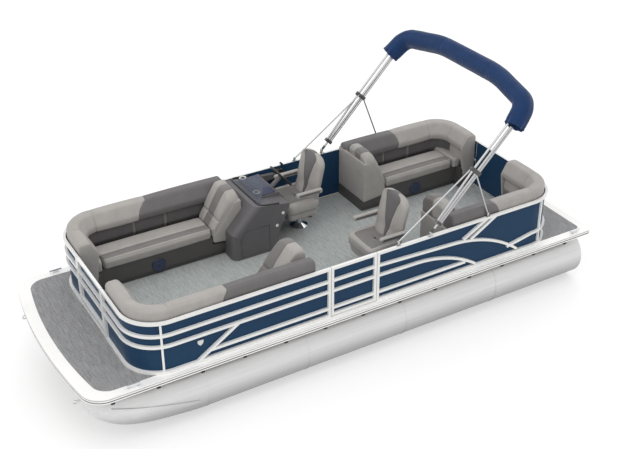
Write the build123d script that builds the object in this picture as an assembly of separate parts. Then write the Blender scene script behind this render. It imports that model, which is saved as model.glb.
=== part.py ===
# Pontoon boat of the 22 ft class: two tubes, a deck, a fence with three gates, four lounges,
# a helm console, two swivel chairs and a folded sun top on its struts.
# Millimetres. +X is the bow, +Y is port, +Z is up. The origin is on the ground under the
# middle of the boat, which parks on the keels of its tubes.
import os
from math import atan2, cos, degrees, radians, sin

from build123d import *

overrun = 20.0              # how far a cutting shape runs past what it cuts
seat = 0.3                  # how close a loose or soft piece lies to what carries it
clear = 8.0                 # gap beside a piece that moves

# Overall sizes
half_beam = 1295.0          # outer face of the rub rail
deck_bow = 3430.0           # bow edge of the deck on the centre line
deck_shoulder = 3305.0      # the same edge where it would meet the side
deck_stern = 3430.0         # stern edge of the deck, aft of the origin
deck_top = 833.0            # walking surface
bow_corner = 250.0          # deck corner radii
stern_corner = 60.0

# Tubes
tube_radius = 320.0
tube_y = 880.0
keel_height = 20.0
keel_width = 60.0
tube_z = keel_height + tube_radius
tube_stern = 3415.0
nose_start = 1970.0
cap_inset = 12.0
bead = 3.0                  # how far a weld bead stands off the tube
bead_width = 14.0
bead_places = (-2000.0, -640.0, 700.0, nose_start)

# Nose of a tube, section by section: how far ahead of the last one it lies, and the share of
# the tube's radius that is left there. The top line stays level.
nose_step = 130.0
nose_shares = ((0.0, 1.0), (3.6, 0.95), (3.6, 0.80), (1.6, 0.61), (1.05, 0.36), (0.45, 0.12))

# Spray fin on each side of a nose: its corners, along X and Z
fin_proud = 14.0
fin_corners = ((3050.0, 520.0), (2840.0, 335.0), (2080.0, 275.0), (2080.0, 300.0))
eye_x = 3360.0              # bow eye
eye_z = 590.0
eye_radius = 26.0
eye_hole = 14.0
eye_gauge = 10.0

# Deck
panel_gauge = 22.0
skin = 5.0                  # deck covering, and the top flange of the edge trim
rail_depth = 66.0           # height of the rub rail
rail_wall = 30.0            # thickness of its web
groove = 5.0
groove_count = 2
trim_side = 105.0           # bright margin outside the deck covering
trim_bow = 132.0
trim_stern = 110.0
beam_height = 96.0          # cross beams under the deck
beam_width = 44.0
beam_gauge = 5.0
beam_pitch = 508.0
riser_width = 150.0         # channel between a tube and the beams
riser_gauge = 6.0

# Motor pod
pod_width = 560.0
pod_length = 900.0
pod_floor = 560.0
pod_depth = 260.0
pod_from_stern = 120.0
board_gauge = 45.0
board_depth = 390.0
bolt_radius = 6.5
bolt_upper = 327.2          # distance between the two upper bolts
bolt_lower = 250.8
bolt_rise = 254.0
bolt_drop = 60.0            # upper bolts below the beams

# Fence
fence_bow = 2786.0          # outer faces
fence_stern = 2899.0
fence_side = 1235.0
fence_radius = 430.0
fence_height = 655.0
bar = 32.0                  # square rail
sheet = 4.0                 # panel behind the rails
side_gate = (-166.0, 449.0)     # posts' inner faces, aft and forward
bow_gate = (-440.0, 320.0)      # posts' inner faces, starboard and port
stern_gate = (-440.0, 240.0)
gate_lift = 12.0
knuckle = 7.0
knuckle_length = 60.0
hinge_pin = 3.5
pin_play = 0.08
leaf = 3.0
leaf_width = 26.0
knuckle_gap = 1.0

# Rails above the deck, by their lower edges
band_high = 463.0
band_middle = 327.0
band_low = 99.0
band_stern = 186.0
bow_seam = 74.0             # degrees round a corner where two sheets meet
stern_seam = 109.0

# Slanting and arched rails of a side: X and height above the deck, along their middles
brace = ((2090.0, 18.0), (1590.0, 343.0))
slants = (((-1390.0, 440.0), (-1740.0, 640.0)), ((-1500.0, 415.0), (-1870.0, 640.0)))
stern_rise = ((-2080.0, 128.0), (-2470.0, 202.0))
arch_high = ((-150.0, 479.0), (-1250.0, 429.0), (-2240.0, 50.0))
arch_low = ((-150.0, 343.0), (-720.0, 333.0), (-1600.0, 40.0))
low_band_bow = 1935.0
low_band_stern = -1440.0

# Lounges, with heights above the deck
wall_gap = 4.0              # between the fence sheet and a cushion or base
base_top = 287.0
base_front = 572.0          # inboard face of a base
seat_front = 552.0          # inboard edge of a seat
seat_thick = 115.0
seat_round = 30.0
lid_past = 90.0             # how far a seat reaches into the rounded corner
back_top = 775.0
back_thick = 230.0
back_top_thick = 140.0
back_round = 80.0
pad_thick = 195.0
pad_foot = 150.0
pad_low = 125.0             # lower and upper edge of the lower pad, above the base
pad_high = 262.0
lid_pivot = 905.0           # hinge line of a seat, from the centre line
kick_height = 70.0
kick_depth = 30.0
tub_wall = 24.0
tub_floor = 20.0
tub_back = 880.0
end_low = 150.0             # lower edge of an end's outer panel, at its head and its foot
end_low_foot = 190.0
end_top = 825.0
end_top_thick = 145.0
end_round = 130.0
arm_block = 150.0
speaker_radius = 80.0
speaker_gauge = 12.0
speaker_height = 135.0
speaker_bow = 1765.0
speaker_stern = 1960.0

# Console: side view as X and height above the deck
console_far = 1150.0
console_near = 340.0
console_profile = ((880.0, 0.0), (880.0, 350.0), (575.0, 678.0), (110.0, 616.0), (95.0, 575.0),
                   (250.0, 250.0), (290.0, 0.0))
hood_profile = ((430.0, 600.0), (430.0, 660.0), (130.0, 673.0), (60.0, 578.0), (150.0, 500.0))
hood_far = 1100.0
hood_near = 560.0
shelf_profile = ((130.0, 610.0), (-250.0, 585.0), (-250.0, 545.0), (130.0, 500.0))
shelf_near = 1130.0
shelf_far = 1185.0
console_wall = 10.0
console_round = 85.0
door_profile = ((770.0, 30.0), (770.0, 300.0), (690.0, 385.0), (380.0, 385.0), (380.0, 30.0))
door_gap = 5.0
screen_front = 570.0
screen_aft = 150.0
screen_height = 185.0       # above the console's top at the helm
screen_lean = 260.0
screen_brow = 330.0         # X of the upper edge
screen_side_lean = 60.0
screen_gauge = 6.0
screen_round = 70.0
wheel_x = -10.0
wheel_y = -750.0
wheel_height = 770.0
wheel_tilt = 40.0           # degrees, axis above level
wheel_radius = 180.0
rim_radius = 15.0
hub_radius = 42.0
hub_thick = 34.0
spoke_width = 26.0
column_radius = 30.0
column_length = 230.0
throttle_x = -130.0
throttle_y = -1160.0
lever_height = 110.0

# Chairs: places of the two pedestals
chairs = {"helm": (-240.0, -720.0), "mate": (-555.0, 680.0)}
foot_radius = 115.0
foot_height = 34.0
post_radius = 42.0
chair_low = 235.0           # underside of a seat above the deck
chair_shell = 110.0
chair_cushion = 150.0
chair_width = 560.0
chair_depth = 480.0
chair_forward = 300.0       # front of the seat, ahead of the swivel
chair_round = 90.0
rest_low = 330.0            # back rest, above the deck
rest_top = 1052.0
rest_width = 510.0
rest_thick = 130.0
rest_front = -50.0          # its front face at seat height, from the swivel
rest_lean = 13.0
rest_round = 130.0
arm_length = 330.0
arm_height = 72.0
arm_width = 60.0
arm_level = 608.0           # middle of an arm above the deck
arm_pin = 12.0
arm_gap = 6.0

# Sun top
mast_x = -890.0
mast_y = 1236.0
strut_y = 1206.0
pivot_lift = 38.0           # main pivot above the top rail
mast_lean = 44.0            # degrees aft of upright
mast_radius = 14.0
strut_radius = 10.0
eye_end = 14.0
eye_proud = 0.5             # how far an eye stands out beside its tube
pin_radius = 4.0
ear_gauge = 4.0
low_clamp = 150.0           # places along a mast, from its pivot
high_clamp_front = 880.0
high_clamp_aft = 868.0
clamp_length = 44.0
clamp_reach = 22.0
clamp_wall = 8.0
tube_pitch = 34.0
tube_spread = 70.0
front_foot_x = -460.0
rear_foot_x = -1745.0
boot_section = (220.0, 225.0)
boot_round = 85.0
# Half of the folded top, from its end to the crown: Y, and distance along the masts
boot_line = ((1275.0, 1545.0), (1205.0, 1850.0), (560.0, 1990.0))
boot_bends = (210.0, 1500.0)

# Deck fittings: X and Y of the cleats on the port side
cleats = ((deck_bow - 600.0, half_beam - 45.0), (250.0 - deck_stern, half_beam - 45.0))
cleat_length = 150.0
cleat_height = 34.0

fence_top = deck_top + fence_height
inner_face = fence_side - bar - sheet
lounge_inset = bar + sheet + wall_gap
wall = fence_side - lounge_inset        # outboard face of a lounge
beam_top = deck_top - skin - panel_gauge
beam_bottom = beam_top - beam_height


def block(x0, x1, y0, y1, z0, z1):
    size = Box(abs(x1 - x0), abs(y1 - y0), abs(z1 - z0))
    return Pos((x0 + x1) / 2, (y0 + y1) / 2, (z0 + z1) / 2) * size


def rod(start, end, radius):
    a, b = Vector(*start), Vector(*end)
    return Plane(origin=a, z_dir=b - a) * Cylinder(
        radius, (b - a).length, align=(Align.CENTER, Align.CENTER, Align.MIN))


def plate(face, z0, z1):
    return extrude(Pos(0, 0, z0) * face, amount=z1 - z0, dir=(0, 0, 1))


def side_plate(points, y0, y1):
    """Outline in X and Z, given its thickness along Y."""
    face = make_face(Polyline(*points, close=True))
    return Pos(0, y1, 0) * extrude(Plane.XZ * face, amount=y1 - y0)


def above_deck(points):
    return [(x, deck_top + height) for x, height in points]


def both_sides(shape):
    return [shape, mirror(shape, about=Plane.XZ)]


def joined(shapes):
    whole = shapes[0]
    for shape in shapes[1:]:
        whole += shape
    return whole


# Plans of the deck and the fence

def deck_plan(side, bow, shoulder, stern, bow_radius, stern_radius):
    straight = Polyline((shoulder, side), (-stern, side), (-stern, -side), (shoulder, -side))
    crown = ThreePointArc((shoulder, -side), (bow, 0), (shoulder, side))
    face = make_face(straight + crown)
    face = fillet(face.vertices().sort_by(Axis.X)[-2:], bow_radius)
    return fillet(face.vertices().sort_by(Axis.X)[:2], stern_radius)


def deck_outline(inset):
    return deck_plan(half_beam - inset, deck_bow - inset, deck_shoulder - inset, deck_stern - inset,
                     bow_corner - inset, stern_corner - inset)


def covering_outline():
    return deck_plan(half_beam - trim_side, deck_bow - trim_bow, deck_shoulder - trim_bow,
                     deck_stern - trim_stern, bow_corner - trim_side / 2, stern_corner)


def fence_outline(inset):
    length = fence_bow + fence_stern - 2 * inset
    width = 2 * (fence_side - inset)
    return Pos((fence_bow - fence_stern) / 2, 0) * RectangleRounded(length, width, fence_radius - inset)


def fence_ring(outer, inner, z0, z1):
    return plate(fence_outline(outer), z0, z1) - plate(fence_outline(inner), z0, z1)


# Hull

def nose(grow):
    rings, x = [], nose_start
    for steps, share in nose_shares:
        x += steps * nose_step
        radius = tube_radius * share
        middle = (x, tube_y, tube_z + tube_radius - radius)
        rings.append(Plane(origin=middle, x_dir=(0, 1, 0), z_dir=(1, 0, 0)) * Circle(radius + grow))
    return loft(rings)


def pontoon():
    hull = rod((-tube_stern, tube_y, tube_z), (nose_start, tube_y, tube_z), tube_radius) + nose(0)
    keel_end = nose_start + 2 * nose_step
    keel = side_plate(((-tube_stern, 0), (nose_start, 0), (keel_end, 2 * keel_height),
                       (nose_start, tube_z), (-tube_stern, tube_z)),
                      tube_y - keel_width / 2, tube_y + keel_width / 2)
    hull += keel
    lip = tube_radius + bead
    for x in bead_places:
        ring = rod((x - bead_width / 2, tube_y, tube_z), (x + bead_width / 2, tube_y, tube_z), lip)
        hull += ring - block(x - bead_width, x + bead_width, tube_y - riser_width, tube_y + riser_width,
                             tube_z, tube_z + 2 * tube_radius)
    fin = side_plate(fin_corners, tube_y - lip, tube_y + lip)
    hull += fin & nose(fin_proud)
    hull -= rod((-tube_stern - cap_inset, tube_y, tube_z), (cap_inset - tube_stern, tube_y, tube_z),
                tube_radius - cap_inset)
    eye = rod((eye_x, tube_y - eye_gauge / 2, eye_z), (eye_x, tube_y + eye_gauge / 2, eye_z), eye_radius)
    eye += block(eye_x - nose_step, eye_x, tube_y - eye_gauge / 2, tube_y + eye_gauge / 2,
                 eye_z - eye_hole, eye_z + eye_hole)
    hull += eye
    return hull - rod((eye_x, tube_y - overrun, eye_z), (eye_x, tube_y + overrun, eye_z), eye_hole)


def deck_frame():
    reach = half_beam - rail_wall
    count = int((deck_shoulder + deck_stern - 2 * bow_corner) / beam_pitch) + 1
    first = -(count - 1) * beam_pitch / 2
    start, end = first, first + (count - 1) * beam_pitch + beam_width
    parts = []
    for i in range(count):
        x = first + i * beam_pitch
        beam = block(x, x + beam_width, -reach, reach, beam_bottom, beam_top)
        parts.append(beam - block(x + beam_gauge, x + beam_width + overrun, -reach - overrun,
                                  reach + overrun, beam_bottom + beam_gauge, beam_top - beam_gauge))
    half = riser_width / 2
    crown = tube_z + tube_radius
    drop = tube_radius - (tube_radius ** 2 - half ** 2) ** 0.5
    for y in (tube_y, -tube_y):
        riser = block(start, end, y - half, y + half, crown - drop, beam_bottom)
        riser -= block(start - overrun, end + overrun, y - half + riser_gauge, y + half - riser_gauge,
                       crown - drop - overrun, beam_bottom - riser_gauge)
        parts.append(riser - rod((start - overrun, y, tube_z), (end + overrun, y, tube_z), tube_radius + seat))
    return joined(parts)


def rub_rail():
    low = deck_top - rail_depth
    rail = plate(deck_outline(0), low, deck_top)
    for i in range(groove_count):
        z = low + rail_depth * (i + 1) / (groove_count + 1)
        rail -= plate(deck_outline(-overrun), z - groove, z + groove) - plate(
            deck_outline(groove), z - groove, z + groove)
    rail -= plate(deck_outline(rail_wall), low - overrun, deck_top - skin)
    return rail - plate(covering_outline(), low, deck_top + overrun)


def deck_panel():
    return plate(deck_outline(rail_wall), beam_top, deck_top - skin)


def cabin_floor():
    return plate(covering_outline() & fence_outline(0), deck_top - skin, deck_top)


def deck_mats():
    return plate(covering_outline() - fence_outline(0), deck_top - skin, deck_top)


def motor_pod():
    aft = pod_from_stern - deck_stern
    low = beam_bottom - pod_depth
    pod = side_plate(((aft, low), (aft + pod_floor, low), (aft + pod_length, beam_bottom),
                      (aft, beam_bottom)), -pod_width / 2, pod_width / 2)
    pod += block(aft - board_gauge, aft, -pod_width / 2, pod_width / 2,
                 beam_bottom - board_depth, beam_bottom)
    for pitch, drop in ((bolt_upper, bolt_drop), (bolt_lower, bolt_drop + bolt_rise)):
        for y in (pitch / 2, -pitch / 2):
            pod -= rod((aft - board_gauge - overrun, y, beam_bottom - drop),
                       (aft + board_gauge, y, beam_bottom - drop), bolt_radius)
    return pod


# Fence

def rail_at(height):
    return fence_ring(0, bar, deck_top + height, deck_top + height + bar)


def slanted_rail(points):
    (x0, h0), (x1, h1) = points
    length = ((x1 - x0) ** 2 + (h1 - h0) ** 2) ** 0.5
    turn = degrees(atan2(h1 - h0, x1 - x0))
    return Pos((x0 + x1) / 2, fence_side - bar / 2, deck_top + (h0 + h1) / 2) * (
        Rot(0, -turn, 0) * Box(length, bar, bar))


def arched_rail(points):
    start, knee, end = points
    line = Line(start, knee)
    path = Plane.XZ * Wire([line, TangentArc(knee, end, tangent=line % 1)])
    section = Plane(origin=path @ 0, x_dir=(0, 1, 0), z_dir=path % 0) * Rectangle(bar, bar)
    return Pos(0, fence_side - bar / 2, deck_top) * sweep(section, path)


def low_rail(x0, x1):
    return block(x0, x1, fence_side - bar, fence_side, deck_top + band_low, deck_top + band_low + bar)


def seam_post(bend_x, angle):
    reach = fence_radius - bar
    post = block(reach, reach + bar * 3 / 4, -bar * 3 / 8, bar * 3 / 8, deck_top, fence_top - bar / 2)
    return Pos(bend_x, fence_side - fence_radius, 0) * Rot(0, 0, angle) * post


def side_post(x):
    return block(x, x + bar, fence_side - bar, fence_side, deck_top, fence_top)


def end_post(x, y):
    return block(x, x + bar, y, y + bar, deck_top, fence_top)


def forward_rails(join, opening):
    """Port rails from a post at the side round the bow corner to the bow gate."""
    keep = block(join, fence_bow, opening, fence_side, deck_top, fence_top)
    rails = joined([rail_at(h) for h in (0.0, band_middle, band_high, fence_height - bar)]) & keep
    return joined([rails, slanted_rail(brace) & keep, low_rail(join, low_band_bow),
                   seam_post(fence_bow - fence_radius, bow_seam), end_post(fence_bow - bar, opening)])


def aft_rails(join, opening):
    """Port rails from a post at the side round the stern corner to the stern gate."""
    keep = block(-fence_stern, join, opening, fence_side, deck_top, fence_top)
    bend = fence_radius - fence_stern
    rails = joined([rail_at(h) for h in (0.0, fence_height - bar)])
    rails += rail_at(band_stern) & block(-fence_stern, bend, 0, fence_side, deck_top, fence_top)
    curved = [arched_rail(arch_high), arched_rail(arch_low), slanted_rail(stern_rise)]
    curved += [slanted_rail(points) for points in slants] + [low_rail(low_band_stern, join)]
    rails = joined([rails] + curved) & keep
    return joined([rails, seam_post(bend, stern_seam), end_post(-fence_stern, opening)])


def port_bow_fence():
    return forward_rails(side_gate[1], bow_gate[1]) + side_post(side_gate[1])


def port_stern_fence():
    return aft_rails(side_gate[0], stern_gate[1]) + side_post(side_gate[0] - bar)


def starboard_fence():
    join = (side_gate[0] + side_gate[1]) / 2
    half = joined([forward_rails(join, -bow_gate[0]), aft_rails(join, -stern_gate[0]),
                   low_rail(side_gate[0], join), side_post(join - bar / 2)])
    for height in (band_middle, band_high):
        half += block(arch_high[0][0], join, fence_side - bar, fence_side,
                      deck_top + height, deck_top + height + bar)
    return mirror(half, about=Plane.XZ)


def fence_sheet(keep):
    return fence_ring(bar, bar + sheet, deck_top + sheet, fence_top - sheet) & keep


def port_bow_sheet():
    return fence_sheet(block(side_gate[1], fence_bow, bow_gate[1], fence_side, deck_top, fence_top))


def port_stern_sheet():
    return fence_sheet(block(-fence_stern, side_gate[0], stern_gate[1], fence_side, deck_top, fence_top))


def starboard_sheet():
    half = fence_sheet(block(-fence_stern, fence_bow, 0, fence_side, deck_top, fence_top))
    half -= block(fence_bow - fence_radius / 2, fence_bow, 0, -bow_gate[0], deck_top, fence_top)
    half -= block(-fence_stern, fence_radius / 2 - fence_stern, 0, -stern_gate[0], deck_top, fence_top)
    return mirror(half, about=Plane.XZ)


# Gates. Each is drawn closed along -X from its hinge line at X = Y = 0, outer side towards +Y,
# and opens by turning from -X to -Y.

gate_face = knuckle + sheet             # inner face of a gate's bars


gate_hinges = (band_low + bar, band_high - knuckle_length - bar)
door_hinges = (2 * door_profile[0][1], door_profile[1][1] - knuckle_length - door_profile[0][1])


def hinge(fixed, heights):
    parts = []
    for base in [deck_top + height for height in heights]:
        middle, top = base + knuckle_length / 2, base + knuckle_length
        if fixed:
            parts += [rod((0, 0, base), (0, 0, middle - knuckle_gap), knuckle),
                      block(0, leaf_width, knuckle - leaf, knuckle, base, middle - knuckle_gap),
                      rod((0, 0, base), (0, 0, top), hinge_pin)]
        else:
            upper = rod((0, 0, middle), (0, 0, top), knuckle)
            upper += block(-leaf_width, 0, knuckle - leaf, knuckle, middle, top)
            parts.append(upper - rod((0, 0, middle - overrun), (0, 0, top + overrun), hinge_pin + pin_play))
    return parts


def gate_frame(opening):
    near, far = -clear / 2, clear * 3 / 2 - opening
    low = deck_top + gate_lift
    outer = block(far, near, gate_face, gate_face + bar, low, fence_top)
    frame = outer - block(far + bar, near - bar, 0, fence_side, low + bar, fence_top - bar)
    for height in (band_low, band_middle, band_high):
        frame += block(far + bar, near - bar, gate_face, gate_face + bar,
                       deck_top + height, deck_top + height + bar)
    return frame


def gate_sheet(opening):
    near, far = -clear / 2, clear * 3 / 2 - opening
    panel = block(far + sheet, near - sheet, knuckle, gate_face,
                  deck_top + gate_lift + sheet, fence_top - sheet)
    return joined([panel] + hinge(False, gate_hinges))


hinge_y = inner_face - knuckle


def at_side(shape):
    return Pos(side_gate[1] - clear / 2, hinge_y, 0) * shape


def at_bow(shape):
    return Pos(fence_bow - bar - sheet - knuckle, bow_gate[0] + clear / 2, 0) * Rot(0, 0, -90) * shape


def at_stern(shape):
    turned = mirror(Rot(0, 0, 90) * shape, about=Plane.XZ)
    return Pos(bar + sheet + knuckle - fence_stern, stern_gate[0] + clear / 2, 0) * turned


# Lounges. Each is drawn on the port side of the bow and then mirrored to its own corner.
# end: the fence's outer face ahead of it. head: its inboard end. arm: how far inboard it wraps.

def lounge_plan(end):
    plan = Rectangle(2 * (end - lounge_inset), 2 * wall)
    return fillet(plan.vertices(), fence_radius - lounge_inset)


def lid_span(end, head, foot):
    return head + foot + clear, end - fence_radius + lid_past - clear


def end_outline(head, foot, low):
    """Side view of an end's outer panel below the seat, from its lower edge to the base's top."""
    return above_deck(((head, end_low - low), (head + foot + low, end_low_foot - low),
                       (head + foot + low, base_top), (head, base_top)))


def lounge_base(end, head, arm, foot, start_x):
    far, top = end - lounge_inset, deck_top + base_top
    kick = deck_top + kick_height
    start, stop = lid_span(end, head, foot)
    body = plate(lounge_plan(end), deck_top, top) & block(start_x, far, base_front, wall, deck_top, top)
    body -= side_plate(end_outline(head, foot, seat), 0, half_beam)
    if arm < base_front:
        body += block(far - back_thick, far, arm, base_front, deck_top, top)
    body -= block(head - overrun, far - back_thick, 0, base_front + kick_depth, deck_top - overrun, kick)
    return body - block(start + tub_wall, stop - tub_wall, base_front + kick_depth + tub_wall, tub_back,
                        kick + tub_floor, top + overrun)


def lounge_seat(end, head, foot):
    start, stop = lid_span(end, head, foot)
    low = deck_top + base_top + seat
    cushion = block(start, stop, seat_front, lid_pivot, low, low + seat_thick)
    cushion = fillet(cushion.edges().filter_by(Axis.X).group_by(Axis.Y)[0], seat_round)
    middle = low + seat_thick / 2
    return cushion + rod((start, lid_pivot, middle), (stop, lid_pivot, middle), seat_thick / 2)


def lounge_back(end, head, arm, foot):
    far, radius = end - lounge_inset, fence_radius - lounge_inset
    base, top = deck_top + base_top, deck_top + back_top
    straight = Line((head, wall), (far - radius, wall))
    path = Wire([straight, TangentArc((far - radius, wall), (far, wall - radius), tangent=straight % 1),
                 Line((far, wall - radius), (far, arm))])
    outline = make_face(Polyline(
        (0, base), (pad_foot, base), (pad_foot, base + pad_low - tub_wall), (pad_thick, base + pad_low),
        (pad_thick, base + pad_high), (back_thick, base + pad_high + tub_wall), (back_thick, base + pad_high + pad_low),
        (back_top_thick, top), (0, top), close=True))
    outline = fillet(outline.vertices().group_by(Axis.Y)[-1], back_round / 2)
    start = Plane(origin=(head, wall, 0), x_dir=(0, -1, 0), z_dir=(-1, 0, 0))
    back = sweep(start * outline, path)
    stop = lid_span(end, head, foot)[1]
    space = block(stop + clear, far, seat_front, wall, base, base + arm_block)
    return back + (plate(lounge_plan(end), base, base + arm_block) & space)


def lounge_end(end, head, foot):
    low, high = deck_top + base_top, deck_top + end_top
    inner = wall - back_thick - seat
    outline = make_face(Polyline((seat_front, low), (inner, low), (inner, high), (seat_front, high), close=True))
    outline = fillet(outline.vertices().group_by(Axis.Y)[-1].sort_by(Axis.X)[:1], end_round)
    pad = Pos(head, 0, 0) * extrude(Plane.YZ * outline, amount=foot)
    leaning = side_plate(((head, low), (head + foot, low), (head + foot, low + seat_thick),
                          (head + end_top_thick, high), (head, high)), 0, fence_side)
    lower = side_plate(end_outline(head, foot, 0), seat_front, wall)
    return (pad & leaning) + lower - block(head, head + foot, inner, wall, low - seat, low)


# name: fence end, head, arm, depth of the end at its foot, side of the boat, end of the boat.
# The head beside the console leans over it.
lounges = {
    "bow_port": (fence_bow, 600.0, 380.0, 450.0, 1, 1),
    "bow_starboard": (fence_bow, 650.0, 460.0, 400.0, -1, 1),
    "stern_port": (fence_stern, 1240.0, 380.0, 340.0, 1, -1),
    "stern_starboard": (fence_stern, 1130.0, 460.0, 340.0, -1, -1),
}


def corner(shape, side, end):
    if side < 0:
        shape = mirror(shape, about=Plane.XZ)
    if end < 0:
        shape = mirror(shape, about=Plane.YZ)
    return shape


def speakers():
    discs = []
    for x, side in ((speaker_bow, -1), (-speaker_stern, -1), (speaker_bow, 1), (-speaker_stern, 1)):
        z = deck_top + speaker_height
        discs.append(rod((x, side * (base_front - seat), z),
                         (x, side * (base_front - seat - speaker_gauge), z), speaker_radius))
    return discs


# Console

def console_shape(inset):
    face = make_face(Polyline(*above_deck(console_profile), close=True))
    if inset:
        face = offset(face, -inset)
    return Pos(0, -console_near - inset, 0) * extrude(
        Plane.XZ * face, amount=console_far - console_near - 2 * inset)


def console():
    shell = console_shape(0)
    near_edges = shell.edges().filter_by_position(Axis.Y, -console_near - seat, -console_near + seat)
    upright = near_edges.filter_by(Axis.Z).group_by(Axis.X)[-1]
    sloping = near_edges.filter_by(lambda edge: abs(edge.bounding_box().max.Z - deck_top - console_profile[2][1]) < seat
                                   and edge.bounding_box().min.Z < deck_top + console_profile[2][1] - console_round)
    shell = fillet(upright + sloping, console_round)
    shell -= console_shape(console_wall) & Pos(-console_round, 0, 0) * console_shape(console_wall)
    shell += side_plate(above_deck(hood_profile), -hood_far, -hood_near)
    shell += side_plate(above_deck(shelf_profile), -shelf_far, -shelf_near)
    shell -= side_plate(above_deck(door_profile), -console_near - console_wall - overrun, 0)
    shell = joined([shell] + [at_door(part) for part in hinge(True, door_hinges)])
    return shell + rod(on_column(column_length), on_column(hub_thick / 2 + seat), column_radius)


def on_column(distance):
    """Point on the steering axis, this far ahead of the wheel's middle."""
    tilt = radians(wheel_tilt)
    return (wheel_x + distance * cos(tilt), wheel_y, deck_top + wheel_height - distance * sin(tilt))


def at_door(shape):
    return Pos(door_profile[0][0] - door_gap / 2, knuckle - console_near, 0) * mirror(shape, about=Plane.XZ)


def console_door():
    face = offset(make_face(Polyline(*above_deck(door_profile), close=True)), -door_gap)
    panel = Pos(0, -console_near, 0) * extrude(Plane.XZ * face, amount=console_wall)
    return joined([panel] + [at_door(part) for part in hinge(False, door_hinges)])


def windscreen():
    low = deck_top + console_profile[3][1]

    def level(inset):
        middle = ((screen_front + screen_aft) / 2, -(console_far + console_near) / 2)
        length, width = screen_front - screen_aft, console_far - console_near - 2 * clear
        base = Pos(*middle, low) * RectangleRounded(length - 2 * inset, width - 2 * inset, screen_round - inset)
        top = Pos(middle[0] - screen_lean / 2, middle[1], low + screen_height) * RectangleRounded(
            length - screen_lean - 2 * inset, width - 2 * screen_side_lean - 2 * inset, screen_round - inset)
        return loft([base, top], ruled=True)

    shell = level(0) - level(screen_gauge)
    side = side_plate(((screen_front, low), (screen_front, low + screen_height),
                       (screen_brow, low + screen_height), (screen_aft + screen_round, low)),
                      -console_far, -console_near)
    middle, half = -(console_far + console_near) / 2, (console_far - console_near) / 2
    arch = make_face(ThreePointArc((middle - half, low), (middle, low + screen_height), (middle + half, low))
                     + Line((middle + half, low), (middle - half, low)))
    hood = side_plate(above_deck(hood_profile), -hood_far - seat, -hood_near + seat)
    return shell & side & extrude(Plane.YZ * arch, amount=console_profile[0][0]) - console_shape(-seat) - hood


def steering_wheel():
    middle = Vector(*on_column(0))
    place = Plane(origin=middle, x_dir=(0, 1, 0), z_dir=middle - Vector(*on_column(column_length)))
    wheel = Torus(wheel_radius - rim_radius, rim_radius) + Cylinder(hub_radius, hub_thick)
    reach = wheel_radius - rim_radius
    for turn in (90, 210, 330):
        wheel += Rot(0, 0, turn) * Pos(reach / 2, 0, 0) * Box(reach, spoke_width, rim_radius)
    return place * wheel


def throttle():
    low = deck_top + shelf_profile[1][1]
    foot = block(throttle_x - lever_height, throttle_x, throttle_y - rim_radius * 2,
                 throttle_y + rim_radius * 2, low - rim_radius, low + rim_radius * 3)
    top = (throttle_x - lever_height, throttle_y, low + lever_height)
    lever = rod((throttle_x - lever_height / 2, throttle_y, low), top, rim_radius / 2)
    grip = rod((top[0], throttle_y - rim_radius * 2, top[2]), (top[0], throttle_y + rim_radius, top[2]), rim_radius)
    shelf = side_plate(above_deck(shelf_profile), -shelf_far - overrun, -shelf_near + overrun)
    return joined([foot, lever, grip]) - Pos(0, 0, seat) * shelf - console_shape(-seat)


# Chairs, drawn with the swivel at X = Y = 0 and facing the bow

def chair_foot():
    low = deck_top
    disc = Cylinder(foot_radius, foot_height / 3, align=(Align.CENTER, Align.CENTER, Align.MIN))
    cone = Pos(0, 0, foot_height / 3) * Cone(foot_radius, post_radius, foot_height,
                                             align=(Align.CENTER, Align.CENTER, Align.MIN))
    post = Cylinder(post_radius, chair_low - seat, align=(Align.CENTER, Align.CENTER, Align.MIN))
    return Pos(0, 0, low) * (disc + cone + post)


def chair_seat():
    back = chair_forward - chair_depth
    plan = fillet(Rectangle(chair_depth, chair_width).vertices(), chair_round)
    low = deck_top + chair_low
    plan = Pos((chair_forward + back) / 2, 0) * plan
    shell = plate(offset(plan, -chair_round / 3), low, low + chair_shell)
    return shell + plate(plan, low + chair_shell / 2, low + chair_shell + chair_cushion)


def chair_rest():
    low, top = deck_top + rest_low, deck_top + rest_top
    outline = Pos(0, (low + top) / 2) * Rectangle(rest_width, top - low)
    outline = fillet(outline.vertices().group_by(Axis.Y)[-1], rest_round)
    slab = Plane.YZ * outline
    slab = Pos(rest_front - rest_thick, 0, 0) * extrude(slab, amount=rest_thick)
    pivot = deck_top + chair_low + chair_shell + chair_cushion
    lean = Pos(rest_front, 0, pivot) * Rot(0, -rest_lean, 0) * Pos(-rest_front, 0, -pivot)
    rest = lean * slab
    rest -= plate(Rectangle(chair_depth * 2, chair_width), 0, deck_top + rest_low)
    rest -= chair_seat_space()
    pin_x, pin_z = arm_pivot()
    reach = rest_width / 2 + arm_gap + arm_width - arm_gap / 2
    return rest + rod((pin_x, -reach, pin_z), (pin_x, reach, pin_z), arm_pin)


def chair_seat_space():
    back = chair_forward - chair_depth
    plan = Pos((chair_forward + back) / 2, 0) * fillet(
        Rectangle(chair_depth, chair_width).vertices(), chair_round)
    low = deck_top + chair_low
    return plate(plan, low + chair_shell / 2, low + chair_shell + chair_cushion)


def arm_pivot():
    rise = deck_top + arm_level - (deck_top + chair_low + chair_shell + chair_cushion)
    x = rest_front - rest_thick / 2 - rise * sin(radians(rest_lean)) / cos(radians(rest_lean))
    return x, deck_top + arm_level


def chair_arm(side):
    x, z = arm_pivot()
    near = rest_width / 2 + arm_gap
    arm = block(x - arm_height / 2, x + arm_length, near, near + arm_width, z - arm_height / 2, z + arm_height / 2)
    arm = fillet(arm.edges().filter_by(Axis.Y), arm_height * 0.4)
    arm -= rod((x, 0, z), (x, chair_width, z), arm_pin + pin_play)
    return arm if side > 0 else mirror(arm, about=Plane.XZ)


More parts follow.
